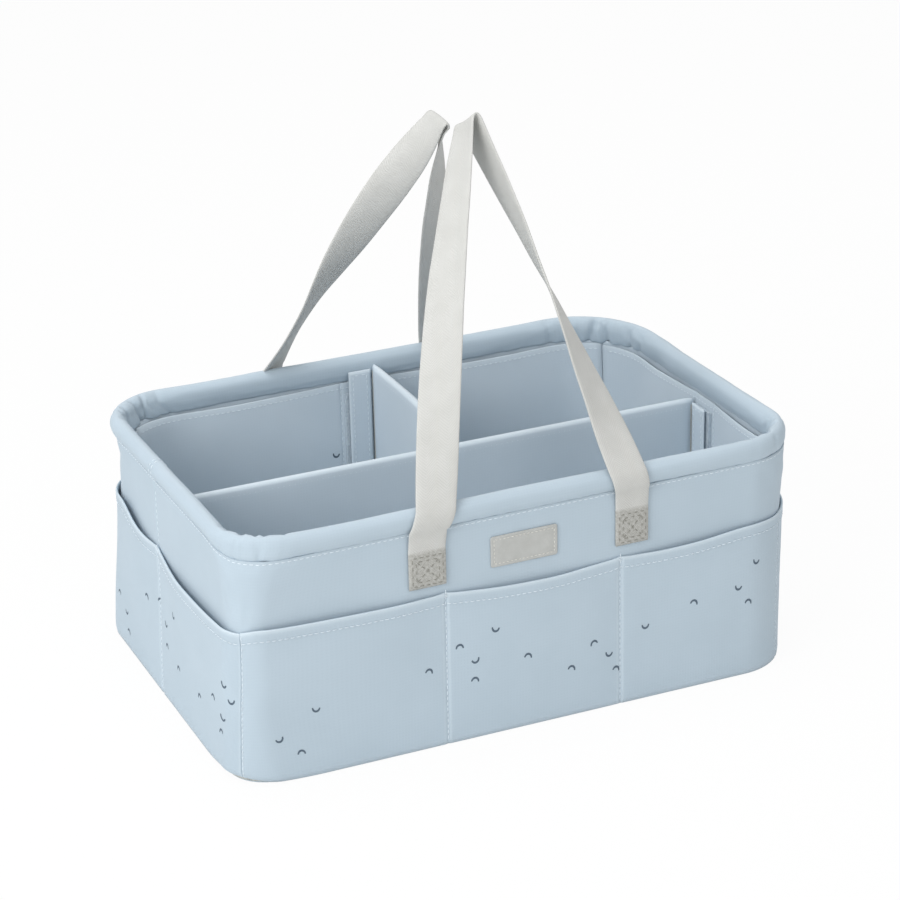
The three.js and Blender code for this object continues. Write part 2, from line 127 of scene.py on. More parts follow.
def add_node(
    tree: Tree,
    kind: str,
    settings: Mapping[str, object] | None = None,
    inputs: Mapping[str | int, object] | None = None,
) -> bpy.types.Node:
    """Add a node, set it up and link it.

    Args:
        tree: The node tree to add to.
        kind: Blender's type name of the node, without its ShaderNode.
        settings: Attributes of the node.
        inputs: A constant or an output socket for each input, by name or index.

    Returns:
        The new node.
    """
    node = tree.nodes.new(f"ShaderNode{kind}")
    for key, value in (settings or {}).items():
        setattr(node, key, value)
    for key, value in (inputs or {}).items():
        if isinstance(value, Socket):
            tree.links.new(value, node.inputs[key])
        else:
            node.inputs[key].default_value = value
    return node


@dataclass(frozen=True)
class Finish:
    """A finish with its own material, made once and then shared."""

    name: str
    colour: str
    roughness: float

    def material(self) -> bpy.types.Material:
        """Give the finish's material.

        Returns:
            The material, made on the first call.
        """
        found = bpy.data.materials.get(self.name)
        if found is not None:
            return found
        made = bpy.data.materials.new(self.name)
        made.use_nodes = True
        tree = made.node_tree
        tree.nodes.clear()
        shader = add_node(
            tree,
            "BsdfPrincipled",
            inputs={"Base Color": linear(self.colour), "Roughness": self.roughness},
        )
        add_node(tree, "OutputMaterial", inputs={"Surface": shader.outputs[0]})
        self.dress(tree, shader)
        made.diffuse_color = linear(self.colour)
        return made

    def dress(self, tree: Tree, shader: bpy.types.Node) -> None:
        """Link the finish's pattern, bump and roughness to the shader; each kind has its own."""

    @staticmethod
    def finish_surface(
        tree: Tree,
        shader: bpy.types.Node,
        colour: Socket | None,
        relief: tuple[Socket, float, float],
        roughness: Socket | None = None,
    ) -> None:
        """Give the shader its colour, its relief and its uneven roughness.

        Args:
            tree: The material's node tree.
            shader: The shader to give them to.
            colour: The socket with the colour, if it has a pattern.
            relief: The socket with the height, how strongly it shades, and its depth in mm.
            roughness: The socket with the roughness, if it is uneven.
        """
        height, strength, depth_mm = relief
        bumped = add_node(
            tree, "Bump", inputs={"Strength": strength, "Distance": depth_mm * MM, "Height": height}
        )
        tree.links.new(bumped.outputs[0], shader.inputs["Normal"])
        for socket, name in ((colour, "Base Color"), (roughness, "Roughness")):
            if socket is not None:
                tree.links.new(socket, shader.inputs[name])

    @staticmethod
    def mottled(tree: Tree, where: Socket, patch_mm: float, low: float, high: float) -> Socket:
        """Add soft patches of a value.

        Args:
            tree: The material's node tree.
            where: Coordinates in metres.
            patch_mm: The size of one patch.
            low: The least value.
            high: The greatest value.

        Returns:
            The socket that carries the value.
        """
        noise = add_node(
            tree, "TexNoise", inputs={"Vector": where, "Scale": 1 / (patch_mm * MM), "Detail": 3.0}
        )
        spread = add_node(
            tree, "MapRange", inputs={"Value": noise.outputs[0], 1: 0.3, 2: 0.7, 3: low, 4: high}
        )
        return spread.outputs[0]


@dataclass(frozen=True)
class WovenPolyester(Finish):
    """Plain-woven polyester canvas: piece-dyed, calendered, matt with a faint nap.

    The weave gives the eye a fine even grain that softens the shading. Folded edges and the top of
    the roll get a paler line painted into the colour, a painted highlight where they catch the
    light. Real threads lie 0.4 mm apart, too fine to show in the render, so they are drawn 1 mm
    apart.
    """

    thread_mm: float = 1.0
    relief_mm: float = 0.08
    # The paler colour that the painted highlight on folded edges mixes towards.
    rubbed: str = "#DBE6ED"
    shade: str = "#B0C0CB"
    sheen: float = 0.12

    def dress(self, tree: Tree, shader: bpy.types.Node) -> None:
        """Link the weave, the mottle of the dye and the painted highlight on folded edges.

        Args:
            tree: The material's node tree.
            shader: The material's shader.
        """
        where = add_node(tree, "UVMap", {"uv_map": "cloth"}).outputs[0]
        threads = [
            add_node(
                tree,
                "TexWave",
                {"bands_direction": axis},
                {
                    "Vector": where,
                    "Scale": math.pi / (10 * 2 * self.thread_mm * MM),
                    "Distortion": 0.6,
                    "Detail": 1.0,
                    "Detail Scale": 2.0,
                },
            ).outputs["Fac"]
            for axis in ("X", "Y")
        ]
        crossing = add_node(tree, "Math", {"operation": "MULTIPLY"}, {0: threads[0], 1: threads[1]})
        fuzz = self.mottled(tree, where, 2.2, 0.0, 0.45)
        height = add_node(tree, "Math", {"operation": "ADD"}, {0: crossing.outputs[0], 1: fuzz})
        dye = add_node(
            tree,
            "Mix",
            {"data_type": "RGBA"},
            {
                0: self.mottled(tree, where, 45.0, 0.0, 0.35),
                6: linear(self.colour),
                7: linear(self.shade),
            },
        )
        faint = add_node(tree, "Math", {"operation": "MULTIPLY"}, {0: crossing.outputs[0], 1: 0.05})
        grain = add_node(
            tree,
            "Mix",
            {"data_type": "RGBA", "blend_type": "MULTIPLY"},
            {0: faint.outputs[0], 6: dye.outputs[2], 7: linear(self.shade)},
        )
        # Painted highlight: a per-point mask of the mesh lightens folded edges, hem tops and the roll's
        # top towards the paler colour.
        edge = add_node(tree, "Attribute", {"attribute_name": "rubbed"})
        partly = add_node(tree, "Math", {"operation": "MULTIPLY"}, {0: edge.outputs["Fac"], 1: 0.55})
        highlighted_and_pressed = add_node(
            tree,
            "Mix",
            {"data_type": "RGBA"},
            {0: partly.outputs[0], 6: grain.outputs[2], 7: linear(self.rubbed)},
        )
        rough = self.mottled(tree, where, 8.0, self.roughness - 0.06, self.roughness + 0.05)
        relief = (height.outputs[0], 0.22, self.relief_mm)
        self.finish_surface(tree, shader, highlighted_and_pressed.outputs[2], relief, rough)
        shader.inputs["Sheen Weight"].default_value = self.sheen
        shader.inputs["Sheen Roughness"].default_value = 0.45
        shader.inputs["Specular IOR Level"].default_value = 0.25


@dataclass(frozen=True)
class TwillWebbing(Finish):
    """Polycotton carry webbing in a herringbone twill, undyed warm grey and slightly napped.

    It gives the eye fine slanted ribs that turn at the middle of the tape, firm even edges, and a
    greyer tone where the feet are doubled and pressed under their stitching. Real ribs lie 1.1 mm
    apart and are drawn 1.8 mm apart, the finest that the render shows.
    """

    rib_mm: float = 1.8
    rib_depth_mm: float = 0.22
    width_mm: float = 25.0
    shade: str = "#BBBBB6"
    pressed: str = "#A5A49E"

    def dress(self, tree: Tree, shader: bpy.types.Node) -> None:
        """Link the twill's ribs, mirrored about the middle of the tape, the painted shade in their
        grooves and the pressed feet.

        Args:
            tree: The material's node tree.
            shader: The material's shader.
        """
        where = add_node(tree, "UVMap", {"uv_map": "cloth"}).outputs[0]
        apart = add_node(tree, "SeparateXYZ", inputs={0: where})
        folded = add_node(
            tree, "Math", {"operation": "PINGPONG"}, {0: apart.outputs[0], 1: self.width_mm * MM / 4}
        )
        slanted = add_node(
            tree, "Math", {"operation": "ADD"}, {0: folded.outputs[0], 1: apart.outputs[1]}
        )
        ribs = add_node(
            tree, "Math", {"operation": "PINGPONG"}, {0: slanted.outputs[0], 1: self.rib_mm * MM / 2}
        )
        height = add_node(
            tree, "Math", {"operation": "MULTIPLY"}, {0: ribs.outputs[0], 1: 2 / (self.rib_mm * MM)}
        )
        # Painted shade: the grooves between the ribs are mixed towards the darker colour; the slow
        # patches on top are the tape's own uneven tone.
        groove_shade_share = add_node(
            tree,
            "Math",
            {"operation": "MULTIPLY_ADD"},
            {0: height.outputs[0], 1: -0.35, 2: self.mottled(tree, where, 14.0, 0.35, 0.6)},
        )
        tone = add_node(
            tree,
            "Mix",
            {"data_type": "RGBA"},
            {0: groove_shade_share.outputs[0], 6: linear(self.colour), 7: linear(self.shade)},
        )
        foot = add_node(tree, "Attribute", {"attribute_name": "rubbed"})
        flecks = self.mottled(tree, where, 1.6, 0.35, 1.0)
        flecked = add_node(tree, "Math", {"operation": "MULTIPLY"}, {0: foot.outputs["Fac"], 1: flecks})
        feet = add_node(
            tree,
            "Mix",
            {"data_type": "RGBA"},
            {0: flecked.outputs[0], 6: tone.outputs[2], 7: linear(self.pressed)},
        )
        rough = self.mottled(tree, where, 5.0, self.roughness - 0.05, self.roughness + 0.05)
        relief = (height.outputs[0], 0.5, self.rib_depth_mm)
        self.finish_surface(tree, shader, feet.outputs[2], relief, rough)
        shader.inputs["Sheen Weight"].default_value = 0.1
        shader.inputs["Specular IOR Level"].default_value = 0.25


@dataclass(frozen=True)
class GrainedPolyurethane(Finish):
    """Polyurethane leathercloth: coated, embossed with a fine pebble grain and wiped matt.

    It gives the eye a flat smooth patch with a dull highlight. The pebbles are 1 mm across.
    """

    pebble_mm: float = 1.0
    wiped: str = "#ACADA9"

    def dress(self, tree: Tree, shader: bpy.types.Node) -> None:
        """Link the pebble grain and the wiped tone.

        Args:
            tree: The material's node tree.
            shader: The material's shader.
        """
        where = add_node(tree, "TexCoord").outputs["Object"]
        pebbles = add_node(
            tree, "TexVoronoi", inputs={"Vector": where, "Scale": 1 / (self.pebble_mm * MM)}
        )
        share = self.mottled(tree, where, 6.0, 0.0, 0.5)
        tone = add_node(
            tree, "Mix", {"data_type": "RGBA"}, {0: share, 6: linear(self.colour), 7: linear(self.wiped)}
        )
        rough = self.mottled(tree, where, 3.0, self.roughness - 0.08, self.roughness + 0.08)
        relief = (pebbles.outputs["Distance"], 0.3, 0.1)
        self.finish_surface(tree, shader, tone.outputs[2], relief, rough)


@dataclass(frozen=True)
class SpunThread(Finish):
    """Spun polyester sewing thread: two plies, soft, with a slight lustre on its crown."""

    ply_mm: float = 0.9

    def dress(self, tree: Tree, shader: bpy.types.Node) -> None:
        """Link the twist of the plies as slanted bands.

        Args:
            tree: The material's node tree.
            shader: The material's shader.
        """
        where = add_node(tree, "TexCoord").outputs["Object"]
        plies = add_node(
            tree,
            "TexWave",
            {"bands_direction": "DIAGONAL"},
            {"Vector": where, "Scale": math.pi / (10 * self.ply_mm * MM)},
        )
        rough = self.mottled(tree, where, 2.0, self.roughness - 0.1, self.roughness)
        self.finish_surface(tree, shader, None, (plies.outputs["Fac"], 0.3, 0.08), rough)


@dataclass(frozen=True)
class ScreenInk(Finish):
    """Water-based pigment ink, screen-printed: it sinks into the weave and stays matt.

    It gives the eye flat slate marks whose tone breaks up a little on the threads.
    """

    thin: str = "#71808D"

    def dress(self, tree: Tree, shader: bpy.types.Node) -> None:
        """Link the broken tone and the weave's relief under the ink.

        Args:
            tree: The material's node tree.
            shader: The material's shader.
        """
        where = add_node(tree, "TexCoord").outputs["Object"]
        grain = self.mottled(tree, where, 0.7, 0.0, 0.5)
        tone = add_node(
            tree, "Mix", {"data_type": "RGBA"}, {0: grain, 6: linear(self.colour), 7: linear(self.thin)}
        )
        self.finish_surface(tree, shader, tone.outputs[2], (grain, 0.2, 0.1))


@dataclass(frozen=True)
class FibrousSheet(Finish):
    """A sheet of pressed or laid fibres: greyboard, wadding, or the pile of a fastener tape.

    It gives the eye a dull, evenly speckled surface. The fibre size sets how coarse it is.
    """

    fibre_mm: float = 0.8
    pile_mm: float = 0.1
    fleck: str = "#C9CAC4"

    def dress(self, tree: Tree, shader: bpy.types.Node) -> None:
        """Link the flecks and the pile.

        Args:
            tree: The material's node tree.
            shader: The material's shader.
        """
        where = add_node(tree, "TexCoord").outputs["Object"]
        flecks = self.mottled(tree, where, self.fibre_mm, 0.0, 1.0)
        tone = add_node(
            tree, "Mix", {"data_type": "RGBA"}, {0: flecks, 6: linear(self.colour), 7: linear(self.fleck)}
        )
        rough = self.mottled(tree, where, 9.0, self.roughness - 0.05, self.roughness + 0.05)
        self.finish_surface(tree, shader, tone.outputs[2], (flecks, 0.6, self.pile_mm), rough)


CANVAS = WovenPolyester("woven_polyester_canvas", "#BBCAD5", 0.86)
# The lining is coloured lighter than the canvas. Part of that is painted light: it stands for the light
# that the white contents, left out here, would bounce onto the inner walls.
LINING = WovenPolyester("woven_polyester_lining", "#CDD9E2", 0.88, relief_mm=0.06, shade="#C1CFD9")
WEBBING = TwillWebbing("polycotton_twill_webbing", "#D2D2CF", 0.82)
PATCH = GrainedPolyurethane("grained_polyurethane_leathercloth", "#BCBDBA", 0.55)
PALE_THREAD = SpunThread("spun_polyester_thread_pale_blue", "#E0EAF1", 0.6)
GREY_THREAD = SpunThread("spun_polyester_thread_grey", "#8F8E86", 0.6)
CREAM_THREAD = SpunThread("spun_polyester_thread_cream", "#DAD9D2", 0.6)
INK = ScreenInk("water_based_pigment_ink", "#4D5C6B", 0.8)
GREYBOARD = FibrousSheet("pressed_greyboard", "#D9DAD6", 0.75)
WADDING = FibrousSheet(
    "needled_polyester_wadding", "#F0EFE9", 0.95, fibre_mm=2.5, pile_mm=0.5, fleck="#E3E2DB"
)
HOOK_TAPE = FibrousSheet(
    "moulded_nylon_hook_tape", "#C6D0D8", 0.55, fibre_mm=1.2, pile_mm=0.6, fleck="#AEBCC7"
)
LOOP_TAPE = FibrousSheet(
    "brushed_nylon_loop_tape", "#CDD7DE", 0.95, fibre_mm=1.8, pile_mm=0.5, fleck="#B9C6D0"
)


def value_noise(across: Array, along: Array, seed: float) -> Array:
    """Smooth repeatable noise.

    Args:
        across: First coordinate, in units of one bump.
        along: Second coordinate, in units of one bump.
        seed: Picks the pattern.

    Returns:
        Values from -1 to 1.
    """
    across, along = np.broadcast_arrays(np.asarray(across, float), np.asarray(along, float))
    low_a, low_b = np.floor(across), np.floor(along)
    part_a, part_b = across - low_a, along - low_b
    part_a, part_b = part_a**2 * (3 - 2 * part_a), part_b**2 * (3 - 2 * part_b)

    def corner(step_a: int, step_b: int) -> Array:
        """The random value at a corner of the lattice."""
        value = np.sin((low_a + step_a) * 127.1 + (low_b + step_b) * 311.7 + seed * 74.7)
        return (value * 43758.5453 - np.floor(value * 43758.5453)) * 2 - 1

    near = corner(0, 0) * (1 - part_a) + corner(1, 0) * part_a
    far = corner(0, 1) * (1 - part_a) + corner(1, 1) * part_a
    return near * (1 - part_b) + far * part_b


def bump_at(distance: Array, reach: float) -> Array:
    """A smooth bump of 1 at no distance that fades over the reach."""
    return np.exp(-((distance / reach) ** 2))


def smooth_step(value: Array, low: float, high: float) -> Array:
    """0 below the low value, 1 above the high one, and smooth between."""
    share = np.clip((value - low) / (high - low), 0, 1)
    return share * share * (3 - 2 * share)


def leaves_wall(rise: Array) -> Array:
    """How far slack cloth has left its wall at a share of its height, from 0 to 1."""
    return 1 - (1 - rise) ** 2.4


def unit(vectors: Array) -> Array:
    """The same directions at a length of 1."""
    return vectors / np.linalg.norm(vectors, axis=-1, keepdims=True)


def lengths_along(line: Array) -> Array:
    """The distance from a line's first point to each of its points."""
    return np.concatenate([[0.0], np.cumsum(np.linalg.norm(np.diff(line, axis=0), axis=1))])


def arch_between(along: Array, low: float, high: float) -> Array:
    """An arch that rises from 0 at two seams to 1 midway."""
    return np.sin(np.pi * np.clip((along - low) / (high - low), 0, 1))


@dataclass(frozen=True)
class Plan:
    """The rounded-rectangle plan of the walls, on the outer face of the shell.

    The sewn cloth is drawn tight round some corners and eases off towards the mouth, so every
    corner has a radius of its own at each height. The foot of the walls spreads a little at the
    left end and at the right of the front, and draws in at the right end.
    Places along a wall are measured on the even corners of the pattern.
    """

    length: float = 377.0
    width: float = 256.0
    radius: float = 38.0
    ease_reach: float = 60.0
    left_spread: float = 3.0
    right_spread: float = -3.0
    front_spread: float = 3.2
    heights: tuple[float, ...] = (0.0, 50.0, 100.0, 135.0, 150.0)
    corner_radii: tuple[tuple[float, ...], ...] = (
        (40.0, 43.0, 43.0, 40.0, 40.0),
        (34.0, 40.0, 48.0, 56.0, 58.0),
        (26.0, 38.0, 50.0, 56.0, 42.0),
        (26.0, 17.0, 17.0, 26.0, 36.0),
    )

    def extent(self, side: Side) -> tuple[float, float]:
        """The wall's length and the distance across to the opposite wall."""
        long_wall = side in (Side.FRONT, Side.BACK)
        return (self.length, self.width) if long_wall else (self.width, self.length)

    def run(self, side: Side) -> float:
        """Half the wall's length round to the middle of its corners."""
        return self.extent(side)[0] / 2 - self.radius * (1 - math.pi / 4)

    def corner_radius(self, side: Side, along: Array, height: Array) -> Array:
        """Find the radius of the corner that each place is nearest to.

        Args:
            side: The wall.
            along: Places along it.
            height: Their heights.

        Returns:
            The radius at each place.
        """
        before, after = (
            np.interp(height, self.heights, self.corner_radii[(side + step) % 4]) for step in (-1, 0)
        )
        return np.where(along < 0, before, after)

    def place(self, side: Side, along: Array, depth: Array, height: Array) -> Array:
        """Find points on a wall.

        Args:
            side: The wall.
            along: Distance along the wall, from left to right seen from outside.
            depth: Distance inward from the shell's outer face.
            height: Height over the floor.

        Returns:
            The x and y of each point.
        """
        along, depth, height = np.broadcast_arrays(
            np.asarray(along, float), np.asarray(depth, float), np.asarray(height, float)
        )
        length, across = self.extent(side)
        straight = length / 2 - self.radius
        radius = self.corner_radius(side, along, height)
        angle = np.clip(np.abs(along) - straight, 0, None) / self.radius
        reach = radius - depth
        eased = smooth_step(np.abs(along), straight - self.ease_reach, straight)
        eased = eased * (radius - self.radius)
        level = np.minimum(np.abs(along), straight) - eased + reach * np.sin(angle)
        spot = self.turn(side, np.sign(along) * level, radius - across / 2 - reach * np.cos(angle))
        foot = 1 - smooth_step(height, 0, 90)
        rightward = np.clip(0.5 + spot[..., 0] / self.length, 0, 1)
        endward = spot[..., 0] * 2 / self.length
        spreads = np.where(endward < 0, self.left_spread, self.right_spread)
        spot[..., 0] += endward * spreads * foot
        forward = np.minimum(spot[..., 1], 0) * 2 / self.width
        spot[..., 1] += forward * self.front_spread * foot * rightward
        return spot

    def outward(self, side: Side, along: Array, height: Array) -> Array:
        """The outward direction at places along a wall, as x and y."""
        return self.place(side, along, -1.0, height) - self.place(side, along, 0.0, height)

    @staticmethod
    def turn(side: Side, u: Array, v: Array) -> Array:
        """Turn the front wall's local places to a side.

        Args:
            side: The wall.
            u: Places along the wall.
            v: Places across it, negative outward.

        Returns:
            The x and y of each.
        """
        turned = ((u, v), (-v, u), (-u, -v), (v, -u))
        return np.stack(turned[side], axis=-1)


PLAN = Plan()
ENDS = (("left", "right"), ("fore", "rear"), ("right", "left"), ("rear", "fore"))


@dataclass
class Patch:
    """A grid of points with the cloth's own coordinates, ready to become a mesh."""

    points: Array
    across: Array
    along: Array
    # Share of painted edge highlight on cloth, and of the pressed tone on webbing feet, at each point.
    rubbed: Array | None = None
    round_columns: bool = False
    round_rows: bool = False
    capped: bool = False

    def faces(self) -> tuple[Array, Array]:
        """Join the grid's points.

        Returns:
            The faces as point numbers, and each face corner's cloth coordinates.
        """
        columns, rows = self.points.shape[:2]
        column = np.arange(columns if self.round_columns else columns - 1)
        row = np.arange(rows if self.round_rows else rows - 1)
        c, r = (grid.ravel() for grid in np.meshgrid(column, row, indexing="ij"))
        corners = [(c, r), (c + 1, r), (c + 1, r + 1), (c, r + 1)]
        faces = np.stack([(a % columns) * rows + b % rows for a, b in corners], axis=1)
        cloth = np.stack([np.stack([self.across[a], self.along[b]], axis=1) for a, b in corners], axis=1)
        if self.capped:
            half = rows // 2
            pairs = np.arange(half - 1)
            for end, order in ((0, 1), (columns - 1, -1)):
                quad = [pairs, pairs + 1, rows - 2 - pairs, rows - 1 - pairs][::order]
                faces = np.vstack([faces, np.stack([end * rows + q for q in quad], axis=1)])
                flat = [np.stack([self.across[end] + 0 * q, self.along[q]], axis=1) for q in quad]
                cloth = np.vstack([cloth, np.stack(flat, axis=1)])
        return faces, cloth


def sheet_patch(
    face: Array, back: Array, across: Array, rubbed: Array | None = None, closed: bool = False
) -> Patch:
    """Join the two faces of a piece of cloth over its hem.

    Args:
        face: Points of the shown face, by column and then row, bottom row first.
        back: The same for the hidden face.
        across: The cloth coordinate of each column, with one more where it is closed.
        rubbed: How much of the painted edge highlight each point of the shown face takes.
        closed: Whether the last column joins the first.

    Returns:
        The closed patch.
    """
    points = np.concatenate([face, back[:, ::-1]], axis=1)
    along = lengths_along(points[len(points) // 2])
    along = np.append(along, along[-1] + 1)
    highlight_and_press = None if rubbed is None else np.concatenate([rubbed, 0 * rubbed], axis=1)
    return Patch(points, across, along, highlight_and_press, closed, True, not closed)


def mesh_places(mesh: bpy.types.Mesh) -> Array:
    """Read where a mesh's points are.

    Args:
        mesh: The mesh.

    Returns:
        Their places in metres, one row each.
    """
    flat = np.empty(len(mesh.vertices) * 3, np.float32)
    mesh.vertices.foreach_get("co", flat)
    return flat.reshape(-1, 3).astype(float)


@dataclass
class Piece:
    """A named mesh that rides on a body, gathered from patches."""

    name: str
    finish: Finish
    slot: str
    patches: list[Patch] = field(default_factory=list)

    def make(self, body: str | None = "root", *stands_for: str) -> bpy.types.Object:
        """Make the object.

        Args:
            body: The body that it rides on, or None to leave it unattached.
            stands_for: The solids that it stands for.

        Returns:
            The new object.
        """
        points, faces, cloth, rubbed, start = [], [], [], [], 0
        for patch in self.patches:
            made, corners = patch.faces()
            flat = patch.points.reshape(-1, 3)
            points.append(flat)
            faces.append(made + start)
            cloth.append(corners.reshape(-1, 2))
            highlighted_and_pressed = np.zeros(len(flat)) if patch.rubbed is None else patch.rubbed.ravel()
            rubbed.append(highlighted_and_pressed)
            start += len(flat)
        mesh = bpy.data.meshes.new(self.name)
        mesh.from_pydata(np.vstack(points) * MM, [], np.vstack(faces))
        layer = mesh.uv_layers.new(name="cloth")
        layer.data.foreach_set("uv", (np.vstack(cloth) * MM).astype(np.float32).ravel())
        # Per-point share of painted edge highlight on cloth, and of the pressed tone on the webbing's
        # feet.
        highlight_and_press = mesh.attributes.new("rubbed", "FLOAT", "POINT")
        highlight_and_press.data.foreach_set("value", np.concatenate(rubbed).astype(np.float32))
        mesh.materials.append(self.finish.material())
        mesh.shade_smooth()
        made_object = bpy.data.objects.new(self.name, mesh)
        bpy.context.scene.collection.objects.link(made_object)
        self.turn_outward(mesh)
        if stands_for:
            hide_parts(*stands_for)
        if body is not None:
            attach(made_object, body)
        LOG.info("%s: %d faces", self.name, len(mesh.polygons))
        return made_object

    @staticmethod
    def turn_outward(mesh: bpy.types.Mesh) -> None:
        """Turn every face outward where the closed mesh holds a negative volume.

        Args:
            mesh: The mesh, of four-sided faces.
        """
        places = mesh_places(mesh)
        corners = np.empty(len(mesh.polygons) * 4, np.int32)
        mesh.polygons.foreach_get("vertices", corners)
        a, b, c, d = (places[corners.reshape(-1, 4)[:, at]] for at in range(4))
        volume = np.einsum("ij,ij->", a, np.cross(b, c)) + np.einsum("ij,ij->", a, np.cross(c, d))
        if volume < 0:
            mesh.flip_normals()


@dataclass
class Stitching:
    """Rows of lockstitch: short lengths of thread whose ends dive into the cloth."""

    length: float = 2.7
    gap: float = 1.0
    radius: float = 0.29
    rise: float = 0.2
    flatness: float = 0.75

    def row(self, line: Array, away: Array) -> list[Patch]:
        """Lay stitches along a line.

        Args:
            line: Points of the line on the cloth.
            away: The direction off the cloth at each point.

        Returns:
            One patch for each stitch.
        """
        run = lengths_along(line)
        count = max(int(run[-1] / (self.length + self.gap)), 1)
        pitch = run[-1] / count
        shape = np.array([-0.5, -0.36, 0.0, 0.36, 0.5])
        girth = np.array([0.25, 0.8, 1.0, 0.8, 0.25])
        lift = np.array([-1.0, 0.45, 1.0, 0.45, -1.0])
        turns = np.linspace(0, 2 * math.pi, 7)[:-1]
        patches = []
        for index in range(count):
            at = (index + 0.5) * pitch + shape * self.length
            centre = np.stack([np.interp(at, run, line[:, k]) for k in range(3)], axis=1)
            normal = unit(np.stack([np.interp(at, run, away[:, k]) for k in range(3)], axis=1))
            beside = np.cross(normal, unit(centre[-1] - centre[0]))
            centre = centre + normal * (lift * self.rise)[:, None]
            round_off = np.cos(turns)[None, :, None] * beside[:, None]
            round_off = round_off + np.sin(turns)[None, :, None] * self.flatness * normal[:, None]
            ring = centre[:, None] + (self.radius * girth)[:, None, None] * round_off
            patches.append(Patch(ring, np.arange(5.0), np.arange(7.0), None, False, True, True))
        return patches


STITCHING = Stitching()


def wall_points(side: Side, along: Array, depth: Array, height: Array) -> Array:
    """Points on a wall at a depth and height, as x, y and z."""
    along, depth, height = np.broadcast_arrays(along, depth, height)
    return np.concatenate([PLAN.place(side, along, depth, height), height[..., None]], axis=-1)


def level_away(side: Side, along: Array, height: Array, inward: bool = False) -> Array:
    """The level direction off a wall's cloth at places along it, as x, y and z."""
    flat = PLAN.outward(side, along, height) * (-1 if inward else 1)
    return np.concatenate([flat, np.zeros((*flat.shape[:-1], 1))], axis=-1)


def wall_row(side: Side, along: Array, depth: Array, height: Array, inward: bool = False) -> list[Patch]:
    """Sew a row through a wall's cloth.

    Args:
        side: The wall.
        along: Places of the row's points along it.
        depth: Their distances inward from the shell's outer face.
        height: Their heights.
        inward: Whether the row shows inside the caddy.

    Returns:
        One patch for each stitch.
    """
    line = wall_points(side, along, depth, height)
    return STITCHING.row(line, level_away(side, along, height, inward))


def round_sheet(walls: Sequence[tuple[Array, Array, Array, Array]]) -> Patch:
    """Join the cloth of the four walls into one round piece.

    Args:
        walls: For each wall the places along it, the shown points, the hidden ones and the share of
            painted edge highlight.

    Returns:
        The closed patch.
    """
    places, faces, backs, highlight_shares = zip(*walls)
    across, start = [], 0.0
    for side, along in zip(Side, places):
        across.append(along.ravel() + PLAN.run(side) + start)
        start += 2 * PLAN.run(side)
    columns = np.concatenate([*across, [start]])
    return sheet_patch(np.concatenate(faces), np.concatenate(backs), columns, np.concatenate(highlight_shares), True)


def straight_row(start: Array, end: Array, away: Array, count: int) -> list[Patch]:
    """Sew a straight row.

    Args:
        start: Where it starts.
        end: Where it ends.
        away: The direction off the cloth.
        count: How many points carry it.

    Returns:
        One patch for each stitch.
    """
    line = start + (end - start) * np.linspace(0, 1, count)[:, None]
    return STITCHING.row(line, np.tile(away, (count, 1)))


def rounded_foot(side: Side, along: Array, height: Array) -> Array:
    """How far the cloth draws in as it turns under the base, softer at the front left corner.

    Args:
        side: The wall.
        along: Places along it.
        height: Their heights.

    Returns:
        The distance inward.
    """
    toward = {Side.FRONT: -along, Side.LEFT: along}.get(side, 0 * along - PLAN.run(side))
    radius = 1.3 + 7.0 * smooth_step(toward, PLAN.run(side) - 55, PLAN.run(side))
    inside = np.clip(radius - height, 0, radius)
    return radius - np.sqrt(np.clip(radius**2 - inside**2, 0, None))


def rim_foot(side: Side, along: Array) -> Array:
    """The height at which the padded roll ends, a little higher along the left wall."""
    inside = smooth_step(PLAN.run(side) - np.abs(along), 2, 42)
    return 141.4 + inside * (3.2 if side is Side.LEFT else 0.0)


def columns_between(low: float, high: float, step: float, marks: Sequence[float]) -> Array:
    """Places along a wall, closer together near the marked ones.

    Args:
        low: The first place.
        high: The last place.
        step: The usual distance between two places.
        marks: Places of seams, which get finer columns round them.

    Returns:
        The places in rising order.
    """
    places = list(np.linspace(low, high, int((high - low) / step) + 1))
    for mark in marks:
        places += [mark + offset for offset in (-3, -1.8, -1.1, -0.5, 0, 0.5, 1.1, 1.8, 3)]
    inside = sorted({round(place, 2) for place in places if low <= place <= high})
    kept = [inside[0]]
    for place in inside[1:]:
        if place - kept[-1] > 0.35:
            kept.append(place)
    kept[-1] = high
    return np.array(kept)


def hem_rows(top: Array, bottom: float, count: int, half_thickness: float) -> tuple[Array, Array]:
    """Heights of the rows of a hemmed sheet, and how far each stands back at the rounded edge.

    Args:
        top: The hem's height at each column.
        bottom: The height of the lower edge.
        count: How many rows there are below the rounded edge.
        half_thickness: The radius of the rounded edge.

    Returns:
        The heights and the set-backs, each by column and row.
    """
    shares = np.linspace(0, 1, count) ** 0.9
    lower = bottom + (top[:, None] - half_thickness - bottom) * shares
    angles = np.radians([30.0, 60.0, 88.0])
    upper = top[:, None] - half_thickness + half_thickness * np.sin(angles)
    back = np.concatenate([np.zeros(count), half_thickness * (1 - np.cos(angles))])
    heights = np.concatenate([lower, upper], axis=1)
    return heights, np.broadcast_to(back, heights.shape)


